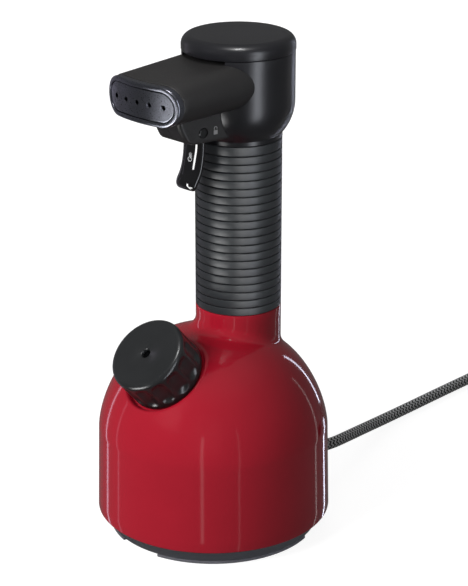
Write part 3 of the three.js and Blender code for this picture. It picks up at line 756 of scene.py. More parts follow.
def makePlug():
    centre = (cordShape["tail"][0][0], plugShape["halfHeight"])
    w, h, front, back = (plugShape[key] for key in ("halfWidth", "halfHeight", "front", "back"))
    rows = [[(centre[0], front, centre[1])]]
    rows += [boxRing(w - 1.2, h - 1.2, 4, front, centre), boxRing(w - 0.3, h - 0.3, 4.8, front + 0.4, centre)]
    rows += [boxRing(w, h, 5, front + 1.4, centre), boxRing(w, h, 5, front + 11, centre)]
    for k in range(plugShape["grips"]):
        y = front + 11.6 + 1.9 * k
        shrink = 0.25 * k
        for inset, lift in ((0.9, 0), (0.9, 0.5), (0.1, 0.9), (0.1, 1.5)):
            rows.append(boxRing(w - inset - shrink, h - inset - shrink, 4.6, y + lift, centre))
    rows += [boxRing(11, 10.6, 5.6, front + 22.4, centre), boxRing(8.6, 8.4, 7, front + 27, centre)]
    rows += [boxRing(6.4, 6.4, 6.2, front + 31, centre), boxRing(5.6, 5.6, 5.5, back - 0.6, centre)]
    rows += [boxRing(5.2, 5.2, 5.1, back, centre), [(centre[0], back, centre[1])]]
    return newPiece("mouldedPlug", skin(rows), mouldedPvc, 40)


mouldedPlug = finish(makePlug(), "housing", "black_plastic", "plug_body")


def prism(outline, x0, x1):
    # a flat outline of [y, z] drawn out along X
    points, faces = skin([[(x, y, z) for y, z in outline] for x in (x0, x1)])
    count = len(outline)
    return points, faces + [tuple(range(count))[::-1], tuple(range(count, 2 * count))]


def makeBlade(node, name):
    # stamped, with a chamfered end and a hole
    low, high = boxMm(node)
    middle, half = (low.z + high.z) / 2, (high.z - low.z) / 2
    corners = [(0, half - 1.8), (0.6, half - 0.7), (2, half)]
    outline = [(low.y + y, middle + z) for y, z in corners] + [(high.y, middle + half),
        (high.y, middle - half)]
    outline += [(low.y + y, middle - z) for y, z in corners[::-1]]
    blade = newPiece(name, prism(outline, low.x, high.x), turnedBrass)
    return carve(blade, tool(alongX(rod(1.1, low.x - 1, high.x + 1, 20), low.y + 4.2, middle)))


bladeLeft = finish(makeBlade("plug_blade_left", "plugBladeLeft"), "housing", "brass", "plug_blade_left")
bladeRight = finish(makeBlade("plug_blade_right", "plugBladeRight"), "housing", "brass", "plug_blade_right")


def makeGroundPin():
    low, high = boxMm("plug_ground_pin")
    middle, radius = (low + high) / 2, (high.z - low.z) / 2
    profile = [(0, -high.y), (radius, -high.y), (radius, -low.y - 1.6), (radius * 0.8, -low.y - 0.5),
        (0, -low.y)]
    part = alongY(turned(rounded(profile, 0.5), 32), middle.x, middle.z)
    return newPiece("plugGroundPin", part, turnedBrass)


groundPin = finish(makeGroundPin(), "housing", "brass", "plug_ground_pin")


def makeTie():
    # a rubber strap arched over the coil's turns
    low, high = boxMm("coil_tie")
    thick, bend = 1.0, 2.4
    left, right, top = low.y + thick / 2 + 0.05, high.y - thick / 2 - 0.05, high.z - thick / 2
    path = [(left, 0.1, -1, 0), (left, top - bend, -1, 0)]
    for k in range(1, 6):
        angle = math.pi - k / 5 * math.pi / 2
        nose = (math.cos(angle), math.sin(angle))
        path.append((left + bend + bend * nose[0], top - bend + bend * nose[1], *nose))
    path += [(left + right - y, z, -ny, nz) for y, z, ny, nz in path[::-1]]
    rows = [[((low.x + high.x) / 2, path[0][0], path[0][1])]]
    for y, z, ny, nz in path:
        ring = boxRing((high.x - low.x) / 2, thick / 2, 0.4, 0, (0, 0), 2)
        middle = (low.x + high.x) / 2
        rows.append([(middle + x, y + ny * out, z + nz * out) for x, _, out in ring])
    rows.append([((low.x + high.x) / 2, path[-1][0], path[-1][1])])
    return newPiece("coilTie", skin(rows), footRubber)


coilTie = finish(makeTie(), "housing", "black_plastic", "coil_tie")
print("cord, plug, relief and tie made")


# ---- body: a dome about the base axis, and a neck about the grip's axis ----

shellLow, shellHigh = boxMm("body_shell")
gripLow, gripHigh = boxMm("grip_sleeve")
gripRadius = (gripHigh.x - gripLow.x) / 2
gripAxisY = (gripLow.y + gripHigh.y) / 2
gripCentre = (0, gripAxisY)
fillerJoint = joints["cap_turn"]
fillerAxis = Vector(fillerJoint["axis"]).normalized()
fillerBase = Vector(fillerJoint["pos_m"]) / mm
fillerFrame = Matrix.Translation(fillerBase) @ Matrix.Rotation(math.atan2(-fillerAxis.y, fillerAxis.z),
    4, "X")

bodyShape = {
    "wall": 2.4,
    "bottomEdge": 1.0,
    "shoulder": 64.7,
    "shoulderRadius": 70.8,
    "domeTop": 125.4,
    "planPower": 2.775,
    "risePower": 1.55,
    "neckFillet": 7.0,
    "seatRadius": 25.5,
    "seatEdge": 3.4,
    "seatDepth": 0.6,            # below the cap's edge
    "fillerHole": 14.5,
    "outletHole": 6.3,
    "frontHalfAngle": 37,        # degrees round the grip's axis where the columns are close
    "frontColumns": 220,
    "otherColumns": 170,
    "domeRows": 120,
}


def makeBody():
    shape = bodyShape
    neckY = gripAxisY
    half = math.radians(shape["frontHalfAngle"])
    close = np.linspace(-math.pi / 2 - half, -math.pi / 2 + half, shape["frontColumns"], endpoint=False)
    wide = np.linspace(-math.pi / 2 + half, 3 * math.pi / 2 - half, shape["otherColumns"], endpoint=False)
    turns = np.concatenate([close, wide])
    sine = neckY * np.sin(turns)

    def reach(radius):
        # from the grip's axis out to a circle about the base axis
        return -sine + np.sqrt(sine ** 2 - neckY ** 2 + radius ** 2)

    def dome(u):
        radius = shape["shoulderRadius"] * np.cos(u) ** (2 / shape["planPower"])
        height = shape["shoulder"] + (shape["domeTop"] - shape["shoulder"]) * np.sin(u) ** (2 / shape["risePower"])
        return reach(radius), height + 0 * turns

    def domeNormal(u):
        step = 1e-4
        (s0, z0), (s1, z1) = dome(u - step), dome(u + step)
        length = np.hypot(s1 - s0, z1 - z0)
        return (z1 - z0) / length, (s0 - s1) / length

    fillet = shape["neckFillet"]
    low, high = 0 * turns + 0.05, 0 * turns + 1.5
    for _ in range(50):
        middle = (low + high) / 2
        s, _z = dome(middle)
        out, _up = domeNormal(middle)
        outside = np.nan_to_num(s + fillet * out, nan=-1) > gripRadius + fillet
        low, high = np.where(outside, middle, low), np.where(outside, high, middle)
    last = (low + high) / 2

    rows = []                    # [distance from the grip's axis, height, normal out, normal up]
    edge, bottom = shape["bottomEdge"], shellLow.z
    shellRadius = shellHigh.x
    for k in range(5):
        angle = -math.pi / 2 + k / 4 * math.pi / 2
        s = reach(shellRadius - edge + edge * math.cos(angle))
        rows.append((s, bottom + edge + edge * math.sin(angle) + 0 * s, math.cos(angle) + 0 * s,
            math.sin(angle) + 0 * s))
    for k in range(1, 9):
        share = k / 9
        s = reach(shellRadius + (shape["shoulderRadius"] - shellRadius) * share)
        rows.append((s, bottom + edge + (shape["shoulder"] - bottom - edge) * share + 0 * s, 1 + 0 * s,
            0 * s))
    for k in range(shape["domeRows"] + 1):
        u = 1e-3 + (last - 1e-3) * k / shape["domeRows"]
        rows.append((*dome(u), *domeNormal(u)))
    s, z, out, up = rows[-1]
    centreS, centreZ = s + fillet * out, z + fillet * up
    begin = np.arctan2(-up, -out)
    for k in range(1, 13):
        angle = begin + (-math.pi - begin) * k / 12
        rows.append((centreS + fillet * np.cos(angle), centreZ + fillet * np.sin(angle), -np.cos(angle),
            -np.sin(angle)))
    top = shellHigh.z
    for k in range(1, 4):
        rows.append((gripRadius + 0 * s, centreZ + (top - 0.5 - centreZ) * k / 3, 1 + 0 * s, 0 * s))
    rows.append((gripRadius - 0.15 + 0 * s, top - 0.13 + 0 * s, 0.7 + 0 * s, 0.7 + 0 * s))
    rows.append((gripRadius - 0.5 + 0 * s, top + 0 * s, 0.7 + 0 * s, 0.7 + 0 * s))

    def placed(s, z):
        return np.stack([s * np.cos(turns), neckY + s * np.sin(turns), z], 1)

    toFiller = np.array(fillerFrame.inverted())
    fromFiller = np.array(fillerFrame)

    def seated(points, depth):
        # sinks the flat seat round the filler, with a rounded edge
        local = points @ toFiller[:3, :3].T + toFiller[:3, 3]
        rho = np.hypot(local[:, 0], local[:, 1])
        share = np.clip((rho - shape["seatRadius"]) / shape["seatEdge"], 0, 1)
        rise = np.sqrt(1 - (1 - share) ** 2)
        near = (rho < shape["seatRadius"] + shape["seatEdge"]) & (local[:, 2] > -25)
        local[:, 2] = np.where(near, depth + (local[:, 2] - depth) * rise, local[:, 2])
        return local @ fromFiller[:3, :3].T + fromFiller[:3, 3]

    rings = [seated(placed(s, z), -shape["seatDepth"]) for s, z, _, _ in rows]
    wall = shape["wall"]
    inner = rows[6:-3:5] + rows[-3:-2]
    rings.append(placed(gripRadius - wall + 0 * s, top + 0 * s))
    rings += [seated(placed(s - wall * out, z - wall * up), -shape["seatDepth"] - wall) for s, z, out,
        up in inner[::-1]]
    rings.append(placed(reach(shellRadius - wall), bottom + 0 * s))
    body = newPiece("bodyShell", skin(rings, loop=True), redGlossAbs, 50)
    fillerHole = moved(rod(shape["fillerHole"], -12, 6, 96), fillerFrame)
    outletHole = onOutlet(rod(shape["outletHole"], -8, 16, 64))
    return carve(body, tool(fillerHole), tool(outletHole), sharp=50)


finish(makeBody(), "housing", "red_gloss", "body_shell")
print("body made")


# ---- grip: a core tube with moulded rubber bands, set out by Geometry Nodes ----

gripShape = {
    "bands": 20,
    "firstGroove": 144.13,       # height of the lowest groove's middle
    "pitch": 5.0,
    "groove": 0.55,
    "grooveDepth": 0.9,
    "edge": 0.4,
    "sides": 160,
}


def bandTree():
    # a stack of equal rounded bands about the Z axis
    tree = bpy.data.node_groups.new("rubberBands", "GeometryNodeTree")
    for name, kind in (
        ("Radius", "NodeSocketFloat"), ("Thickness", "NodeSocketFloat"), ("Height", "NodeSocketFloat"),
        ("Edge", "NodeSocketFloat"), ("Pitch", "NodeSocketFloat"), ("Count", "NodeSocketInt"),
        ("Sides", "NodeSocketInt"), ("Material", "NodeSocketMaterial"),
    ):
        tree.interface.new_socket(name, in_out="INPUT", socket_type=kind)
    tree.interface.new_socket("Geometry", in_out="OUTPUT", socket_type="NodeSocketGeometry")
    given = addNode(tree, "NodeGroupInput").outputs
    half = addNode(tree, "ShaderNodeMath", {0: given["Thickness"], 1: -0.5, 2: given["Radius"]},
        operation="MULTIPLY_ADD")
    path = addNode(tree, "GeometryNodeCurvePrimitiveCircle",
        {"Resolution": given["Sides"], "Radius": half.outputs[0]})
    section = addNode(tree, "GeometryNodeCurvePrimitiveQuadrilateral", {
        "Width": given["Thickness"], "Height": given["Height"],
    })
    eased = addNode(tree, "GeometryNodeFilletCurve", {
        "Curve": section.outputs[0], "Radius": given["Edge"], "Count": 4,
    }, mode="POLY")
    band = addNode(tree, "GeometryNodeCurveToMesh",
        {"Curve": path.outputs[0], "Profile Curve": eased.outputs[0]})
    step = addNode(tree, "ShaderNodeCombineXYZ", {"Z": given["Pitch"]})
    places = addNode(tree, "GeometryNodeMeshLine", {"Count": given["Count"], "Offset": step.outputs[0]})
    copies = addNode(tree, "GeometryNodeInstanceOnPoints",
        {"Points": places.outputs[0], "Instance": band.outputs[0]})
    whole = addNode(tree, "GeometryNodeRealizeInstances", {"Geometry": copies.outputs[0]})
    painted = addNode(tree, "GeometryNodeSetMaterial",
        {"Geometry": whole.outputs[0], "Material": given["Material"]})
    addNode(tree, "NodeGroupOutput", {"Geometry": painted.outputs[0]})
    return tree


def grown(name, tree, values, material):
    # a plain mesh from a Geometry Nodes tree with these inputs
    piece = bpy.data.objects.new(name, bpy.data.meshes.new(name))
    scene.collection.objects.link(piece)
    modifier = piece.modifiers.new("nodes", "NODES")
    modifier.node_group = tree
    for item in tree.interface.items_tree:
        if item.in_out == "INPUT" and item.name in {**values, "Material": material}:
            modifier[item.identifier] = {**values, "Material": material}[item.name]
    settle(piece)
    return piece


def joined(name, pieces):
    # one mesh from several, in the first one's place
    bm = bmesh.new()
    materials = []
    for piece in pieces:
        part = piece.data.copy()
        count = len(bm.faces)
        for slotMaterial in part.materials:
            if slotMaterial not in materials:
                materials.append(slotMaterial)
        shift = [materials.index(m) for m in part.materials]
        bm.from_mesh(part)
        bm.faces.ensure_lookup_table()
        for face in bm.faces[count:]:
            face.material_index = shift[face.material_index] if shift else 0
        bpy.data.objects.remove(piece)
    mesh = bpy.data.meshes.new(name)
    bm.to_mesh(mesh)
    bm.free()
    for material in materials:
        mesh.materials.append(material)
    result = bpy.data.objects.new(name, mesh)
    scene.collection.objects.link(result)
    soften(result)
    return result


def makeGrip():
    shape = gripShape
    tree = bandTree()
    thick = 2.6
    low, high = gripLow.z, gripHigh.z
    stacks = []
    firstBand = shape["firstGroove"] - shape["groove"] / 2 - low
    usual = shape["pitch"] - shape["groove"]
    lastBand = high - (shape["firstGroove"] + shape["pitch"] * (shape["bands"] - 1) + shape["groove"] / 2)
    spans = [(low, firstBand, 1), (shape["firstGroove"] + shape["groove"] / 2, usual, shape["bands"] - 1)]
    spans.append((high - lastBand, lastBand, 1))
    for bottom, height, count in spans:
        stack = grown("bands", tree, {
            "Radius": gripRadius * mm, "Thickness": thick * mm, "Height": height * mm,
            "Edge": shape["edge"] * mm,
            "Pitch": shape["pitch"] * mm, "Count": count, "Sides": shape["sides"],
        }, gripRubber)
        stack.data.transform(Matrix.Translation((0, gripAxisY * mm, (bottom + height / 2) * mm)))
        stacks.append(stack)
    return joined("gripSleeve", stacks)


def makeGripCore():
    outer = gripRadius - gripShape["grooveDepth"]
    profile = [(23.2, gripLow.z + 0.1), (outer, gripLow.z + 0.1), (outer, gripHigh.z - 0.1),
        (23.2, gripHigh.z - 0.1)]
    # the core's near-black colour is painted shade at the bottom of the grip's grooves
    return newPiece("gripCore", turned(profile, 128, gripCentre), grooveRubber)


finish(makeGrip(), "housing", "grip_rubber", "grip_sleeve")
finish(makeGripCore(), "housing", "grip_rubber")
print("grip made")


# ---- head: bowl, wall and lid about the grip's axis ----

headLow, headHigh = boxMm("head_shell")
lidLow, lidHigh = boxMm("head_lid")
rimLow, rimHigh = boxMm("nozzle_rim")
nozzleLow, nozzleHigh = boxMm("nozzle_shell")

headShape = {
    "wall": 2.4,
    "bowlRadius": 30,
    "bowlTop": 268,
    "bowlBottom": 248,
    "coreHole": 22.9,
    "windowGap": 0.12,
    "slotHalf": 17.6,
    "lidEdge": 6.0,
    "lidWall": 3.0,
    "sides": 224,
}

nozzleShape = {
    "halfWidth": rimHigh.x,
    "halfHeight": (rimHigh.z - rimLow.z) / 2,
    "middle": (rimHigh.z + rimLow.z) / 2,
    "faceRadius": gripAxisY - rimLow.y,
    "backY": nozzleHigh.y,
    "wall": 2.0,
    "rimWidth": 2.9,
    "rimDepth": 4.0,
    "seam": 0.15,
    "plateGap": 0.35,
    "plateRecess": 0.4,
    "plateThick": 2.5,
    "holes": 5,
    "holeSpacing": 9.8,
    "holeRadius": 1.3,
}
faceY = gripAxisY - nozzleShape["faceRadius"]
backGrowth = (nozzleHigh.z - nozzleLow.z) / (rimHigh.z - rimLow.z)
riseRate = (backGrowth - 1) / (nozzleShape["backY"] - faceY)


def stadiumRing(halfWidth, halfHeight, endSteps=20, flatSteps=18):
    # a flat oval of [x, z], from the bottom of its right end and round
    straight = halfWidth - halfHeight
    ring = []
    for k in range(endSteps):
        angle = -math.pi / 2 + math.pi * k / endSteps
        ring.append((straight + halfHeight * math.cos(angle), halfHeight * math.sin(angle)))
    ring += [(straight - 2 * straight * k / flatSteps, halfHeight) for k in range(flatSteps)]
    for k in range(endSteps):
        angle = math.pi / 2 + math.pi * k / endSteps
        ring.append((-straight + halfHeight * math.cos(angle), halfHeight * math.sin(angle)))
    ring += [(-straight + 2 * straight * k / flatSteps, -halfHeight) for k in range(flatSteps)]
    return ring


def nozzleRow(inset, radius=None, y=None):
    # an oval row at this inset, on an arc about the grip's axis or at one depth, growing towards the head
    row = []
    for x, z in stadiumRing(nozzleShape["halfWidth"] - inset, nozzleShape["halfHeight"] - inset):
        depth = y if radius is None else gripAxisY - math.sqrt(radius ** 2 - x ** 2)
        growth = 1 + riseRate * (depth - faceY)
        row.append((x, depth, rimLow.z + (nozzleShape["middle"] + z - rimLow.z) * growth))
    return row


def mixedRow(front, back, share):
    return [tuple(a + (b - a) * share for a, b in zip(p, q)) for p, q in zip(front, back)]


def makeNozzle():
    shape = nozzleShape
    start = shape["faceRadius"] - shape["rimDepth"] - shape["seam"]
    front, back = nozzleRow(0, radius=start - 0.35), nozzleRow(0, y=shape["backY"])
    rows = [nozzleRow(0.35, radius=start), nozzleRow(0.1, radius=start - 0.1)]
    rows += [mixedRow(front, back, k / 14) for k in range(15)]
    innerFront, innerBack = nozzleRow(shape["wall"], radius=start), nozzleRow(shape["wall"], y=shape["backY"])
    rows += [mixedRow(innerBack, innerFront, k / 4) for k in range(5)]
    return newPiece("nozzleShell", skin(rows, loop=True), mattNylon, 40)


def makeRim():
    shape = nozzleShape
    face, depth, width = shape["faceRadius"], shape["rimDepth"], shape["rimWidth"]
    steps = [(0, depth), (0, 1.0), (0.08, 0.55), (0.3, 0.22), (0.65, 0.05), (1.0, 0), (width - 0.45, 0)]
    steps += [(width - 0.2, 0.08), (width - 0.05, 0.25), (width, 0.55), (width, depth)]
    rows = []
    for inset, back in steps:
        row = nozzleRow(inset, radius=face - back)
        rows.append([(x, y, rimLow.z + (z - rimLow.z) / (1 + riseRate * (y - faceY))) for x, y, z in row])
    return newPiece("nozzleRim", skin(rows, loop=True), gunmetalSteel, 40)


def makePlate():
    shape = nozzleShape
    inset, face, thick = shape["rimWidth"] + shape["plateGap"], shape["faceRadius"] - shape["plateRecess"], shape["plateThick"]
    limit = shape["halfHeight"]
    fronts = [limit, 8, 6.2, 5, inset + 0.5]
    steps = [(limit, thick)] + [(size, thick) for size in fronts[1:-1]] + [(inset, thick), (inset, 0.35)]
    steps += [(inset + 0.1, 0.1), (inset + 0.35, 0)] + [(size, 0) for size in fronts[::-1]]
    rows = []
    for size, back in steps:
        row = nozzleRow(size, radius=face - back)
        rows.append([(x, y, rimLow.z + (z - rimLow.z) / (1 + riseRate * (y - faceY))) for x, y, z in row])
    plate = newPiece("steamPlate", skin(rows), gunmetalSteel, 40)
    drills = []
    for k in range(shape["holes"]):
        x = (k - (shape["holes"] - 1) / 2) * shape["holeSpacing"]
        y = gripAxisY - math.sqrt(face ** 2 - x ** 2)
        lip = shape["holeRadius"]
        profile = [(0, -y - 8), (lip, -y - 8), (lip, -y - 0.35), (lip + 0.45, -y + 0.12),
            (lip + 0.6, -y + 1), (0, -y + 1)]
        drills.append(tool(alongY(turned(profile, 28), x, shape["middle"])))
    return carve(plate, *drills, sharp=40)


def makeHead():
    shape = headShape
    radius, neck, bottom = headHigh.x, gripRadius + 0.1, headLow.z
    profile = [(shape["coreHole"], bottom), (neck - 0.3, bottom), (neck, bottom + 0.3),
        (neck, shape["bowlBottom"])]
    for k in range(25):
        z = shape["bowlBottom"] + (shape["bowlTop"] - shape["bowlBottom"]) * k / 24
        drop = shape["bowlTop"] - z
        profile.append((radius - shape["bowlRadius"] + math.sqrt(shape["bowlRadius"] ** 2 - drop ** 2), z))
    profile[4] = (neck + 0.05, shape["bowlBottom"] + 0.05)
    for k in range(1, 6):
        profile.append((radius, shape["bowlTop"] + (headHigh.z - 0.4 - shape["bowlTop"]) * k / 5))
    profile += [(radius - 0.12, headHigh.z - 0.12), (radius - 0.4, headHigh.z)]
    wall = shape["wall"]
    profile += [(radius - wall, headHigh.z), (radius - wall, shape["bowlTop"]), (radius - wall - 1.5, 258)]
    profile += [(26.2, shape["bowlBottom"] + 2.2), (shape["coreHole"], shape["bowlBottom"] + 2.2)]
    head = newPiece("headShell", turned(profile, shape["sides"], gripCentre), satinNylon)
    gap = shape["windowGap"]
    window = [nozzleRow(-gap, y=-30 + 5.5 * k) for k in range(9)]
    ends = [[(0, window[0][0][1], nozzleShape["middle"])], [(0, window[-1][0][1], nozzleShape["middle"])]]
    windowTool = tool(skin([ends[0]] + window + [ends[1]]))
    half = shape["slotHalf"]
    slotTool = tool(slab(-half, half, -30, 5, nozzleShape["middle"], headHigh.z + 1))
    stemTool = tool(alongY(rod(2.1, 0, 16), 0, 255.5))
    return carve(head, windowTool, slotTool, stemTool, sharp=35)


def makeLid():
    shape = headShape
    radius, edge, bottom, top = lidHigh.x, shape["lidEdge"], lidLow.z, lidHigh.z
    profile = [(29, bottom), (radius - 0.5, bottom), (radius - 0.15, bottom + 0.12), (radius, bottom + 0.5)]
    for k in range(17):
        angle = k / 16 * math.pi / 2
        profile.append((radius - edge + edge * math.cos(angle), top - edge + edge * math.sin(angle)))
    profile += [(18, top), (8, top), (0, top)]
    inside = [(0, top - shape["lidWall"]), (29, top - shape["lidWall"])]
    return newPiece("headLid", turned(inside + profile, shape["sides"], gripCentre), satinNylon, 40)


finish(makeHead(), "housing", "satin_black", "head_shell")
finish(makeLid(), "housing", "satin_black", "head_lid")
finish(makeNozzle(), "housing", "black_plastic", "nozzle_shell")
finish(makeRim(), "housing", "gunmetal", "nozzle_rim")
finish(makePlate(), "housing", "gunmetal", "nozzle_plate")
print("head and nozzle made")

# ---- filler cap: fluted, with the pressure pin in its middle ----

capShape = {
    "radius": 24.2,
    "wallBore": 19.5,
    "height": 25.5,
    "edgeArc": 3.0,
    "flutes": 14,
    "firstFlute": -14.6,         # degrees
    "fluteRadius": 6.5,
    "fluteDepth": 1.85,
    "fluteLow": 7.7,             # full depth between these heights
    "fluteHigh": 17.8,
    "soft": 0.15,
    "hole": 2.9,
    "columnsPerFlute": 32,
}


def makeCap():
    shape = capShape
    radius, top, arc = shape["radius"], shape["height"], shape["edgeArc"]
    pitch = 2 * math.pi / shape["flutes"]
    turns = np.linspace(0, 2 * math.pi, shape["flutes"] * shape["columnsPerFlute"], endpoint=False)
    away = (turns - math.radians(shape["firstFlute"]) + pitch / 2) % pitch - pitch / 2
    profile = [(shape["wallBore"], 0), (radius - 1, 0), (radius - 0.25, 0.35)]
    profile += [(radius, 1.2 + (top - arc - 1.2) * k / 44) for k in range(45)]
    for k in range(1, 11):
        angle = k / 10 * math.pi / 2
        profile.append((radius - arc + arc * math.sin(angle + math.pi / 2),
            top - arc + arc * math.sin(angle)))
    profile += [(14, top), (shape["hole"] + 0.5, top), (shape["hole"], top - 0.4), (shape["hole"], top - 4)]
    profile += [(shape["wallBore"] - 2, top - 4), (shape["wallBore"], top - 6)]
    rows = []
    for r, z in profile:
        beyond = z - min(max(z, shape["fluteLow"]), shape["fluteHigh"])
        q = np.minimum(np.hypot(radius * away, beyond), shape["fluteRadius"])
        deep = np.sqrt(shape["fluteRadius"] ** 2 - q ** 2) - shape["fluteRadius"] + shape["fluteDepth"]
        sunk = (deep + np.sqrt(deep ** 2 + shape["soft"] ** 2)) / 2 * (r > shape["wallBore"] + 1)
        rows.append(np.stack([(r - sunk) * np.cos(turns), (r - sunk) * np.sin(turns), 0 * turns + z], 1))
    return newPiece("fillerCap", moved(skin(rows, loop=True), fillerFrame), semiGlossAbs, 55)


finish(makeCap(), "filler_cap", "black_plastic", "filler_cap")
print("filler cap made")


# ---- trigger housing, trigger and lock ----

housingShape = {
    "halfWidths": ([-40, -33, -27, -3, 4], [10.4, 12, 12.8, 16.5, 16.5]),
    "fronts": ([251.4, 252.3, 254, 257.6, 262, 269], [-27.8, -30, -32, -34.4, -36.3, -38.5]),
    "back": 4,
    "corner": 3.2,
    "levels": [(251.4, 1.2), (251.75, 0.4), (252.6, 0), (254, 0), (256, 0), (258.5, 0), (262, 0),
        (265.5, 0), (268.8, 0)],
    "pocket": (-10.6, 10.6, -26, 5, 253.4, 267.6),
    "mouth": (-9.2, 9.2, -21.5, 5, 250.4, 254.4),
    "parting": (-0.14, 0.14, -41, -24.5, 250, 270),
    "lock": (-20.5, 257.7, 3.15),
    "pin": (-16.6, 263.5, 1.85),
    "gap": 0.3,
}


def housingRow(z, inset):
    shape = housingShape
    corner, front = shape["corner"], float(np.interp(z, *shape["fronts"])) + inset
    side = [(np.interp(y, *shape["halfWidths"]) - inset, y)
        for y in np.linspace(shape["back"], front + corner, 14)]
    middle = side[-1][0] - corner
    for k in range(1, 9):
        angle = k / 8 * math.pi / 2
        side.append((middle + corner * math.cos(angle), front + corner - corner * math.sin(angle)))
    side += [(middle * (1 - k / 5), front) for k in range(1, 6)]
    return [(x, y, z) for x, y in side] + [(-x, y, z) for x, y in side[-2::-1]]


def makeTriggerHousing():
    shape = housingShape
    rows = [[(0, -15, shape["levels"][0][0])]] + [housingRow(*level) for level in shape["levels"]]
    rows.append([(0, -15, shape["levels"][-1][0])])
    housing = newPiece("triggerHousing", skin(rows), mattNylon)
    gap, neck, bowl = shape["gap"], gripRadius + 0.1, headShape["bowlRadius"]
    profile = [(0, 240), (neck + gap, 240), (neck + gap, headShape["bowlBottom"])]
    for z in np.linspace(headShape["bowlBottom"], headShape["bowlTop"], 25):
        drop = headShape["bowlTop"] - z
        profile.append((headHigh.x - bowl + math.sqrt(bowl ** 2 - drop ** 2) + gap, z))
    profile += [(headHigh.x + gap, 280), (0, 280)]
    tools = [tool(turned(profile, 160, gripCentre)), tool(slab(*shape["pocket"])),
        tool(slab(*shape["mouth"]))]
    y, z, radius = shape["lock"]
    tools.append(tool(alongX(rod(radius, -25, 25, 48), y, z)))
    y, z, radius = shape["pin"]
    tools.append(tool(alongX(rod(radius, -13, 13), y, z)))
    return carve(housing, *tools, tool(slab(*shape["parting"])), sharp=32)


triggerShape = {
    "front": [(-17.3, 261), (-17.3, 254), (-17.3, 246), (-18, 240), (-19.7, 233), (-21.4, 229.6),
        (-23.4, 226.6),
              (-24.1, 224), (-23.2, 221.6), (-21.6, 220.7)],
    "back": [(-12.8, 261), (-12, 254), (-12, 247), (-12.5, 238), (-14, 231.6), (-16, 227.3), (-17.6, 224.5),
             (-18.6, 222.6), (-19.6, 221.4), (-20.6, 220.9)],
    "halfWidth": 8.4,
    "tipNarrower": 3.8,
    "power": 2.5,
    "hub": 3.4,
    "bore": 1.7,
    "pivot": (-16.6, 263.5),
}


def makeTrigger():
    shape = triggerShape
    line = throughPoints([(*front, *back) for front, back in zip(shape["front"], shape["back"])], 0.8)
    turns = np.linspace(0, 2 * math.pi, 56, endpoint=False)
    across = np.sign(np.cos(turns)) * np.abs(np.cos(turns)) ** (2 / shape["power"])
    deep = np.sign(np.sin(turns)) * np.abs(np.sin(turns)) ** (2 / shape["power"])
    rows = []
    for k, (frontY, frontZ, backY, backZ) in enumerate(line):
        share = max(0.0, (k / (len(line) - 1) - 0.8) / 0.2)
        half = shape["halfWidth"] - shape["tipNarrower"] * (1 - math.sqrt(1 - share ** 2))
        y = (frontY + backY) / 2 + deep * (frontY - backY) / 2
        rows.append(np.stack([half * across, y, (frontZ + backZ) / 2 + deep * (frontZ - backZ) / 2], 1))
    poles = [[tuple(rows[end].mean(axis=0))] for end in (0, -1)]
    lever = newPiece("triggerLever", skin([poles[0]] + rows + [poles[1]]), pianoAbs, 45)
    half = shape["halfWidth"]
    hub = [(0, -half), (shape["hub"] - 0.4, -half), (shape["hub"], -half + 0.4), (shape["hub"], half - 0.4)]
    hub += [(shape["hub"] - 0.4, half), (0, half)]
    carve(lever, tool(alongX(turned(hub, 64), *shape["pivot"])), how="UNION", sharp=45)
    carve(lever, tool(alongX(rod(shape["bore"], -9, 9), *shape["pivot"])), sharp=45)
    lever.data.materials.clear()
    lever.data.materials.append(pianoAbs)
    return lever, line[:, 1], line[:, 0]


def makeLock():
    y, z, _ = housingShape["lock"]
    low, high = -17, 14
    profile = [(0, low + 0.3), (1.6, low + 0.1), (2.2, low), (2.6, low + 0.1), (2.9, low + 0.5)]
    profile += [(2.9, high - 0.5), (2.6, high - 0.1), (2.2, high), (1.6, high - 0.1), (0, high - 0.3)]
    return newPiece("lockButton", alongX(turned(profile, 48), y, z), semiGlossAbs, 40)


finish(makeTriggerHousing(), "housing", "black_plastic", "trigger_housing")
lever, leverHeights, leverFronts = makeTrigger()
finish(lever, "trigger", "piano_black", "trigger")
finish(makeLock(), "lock_button", "black_plastic", "lock_button")
print("trigger and lock made")


# ---- printed signs: a padlock by the lock, steam on the trigger ----

signShape = {
    "line": 0.36,
    "raised": 0.12,
    "padlockPlace": (15.11, -12, 258),
    "padlockTurn": 8.77,         # degrees between the housing's side and +Y
    "steamHeight": 240,
}


def stroke(path, width):
    # a flat printed line in local X and Y, raised along Z
    line = np.array(path, float)
    ahead = np.gradient(line, axis=0)
    ahead /= np.linalg.norm(ahead, axis=1)[:, None]
    low, high = -0.1, signShape["raised"]
    rows = [[(*line[0], 0)]]
    for (x, y), (u, v) in zip(line, ahead * width / 2):
        rows.append([(x + v, y - u, low), (x - v, y + u, low), (x - v, y + u, high), (x + v, y - u, high)])
    return skin(rows + [[(*line[-1], 0)]])


def makePadlock():
    shape = signShape
    arch = [(-0.95, 0.3), (-0.95, 0.9)]
    arch += [(-0.95 * math.cos(k / 10 * math.pi), 1.35 + 0.95 * math.sin(k / 10 * math.pi))
        for k in range(11)]
    arch += [(0.95, 1.2), (0.95, 0.9)]
    block = [(x, -1.1) for x in np.linspace(-1.35, 1.35, 8)]
    turn = math.radians(shape["padlockTurn"])
    aside = Matrix(((math.sin(turn), 0, math.cos(turn)), (math.cos(turn), 0, -math.sin(turn)),
        (0, 1, 0))).to_4x4()
    place = Matrix.Translation(shape["padlockPlace"]) @ aside
    return newPiece("padlockSign", [moved(stroke(path, width), place) for path,
        width in ((arch, 0.45), (block, 2.5))], printedInk)


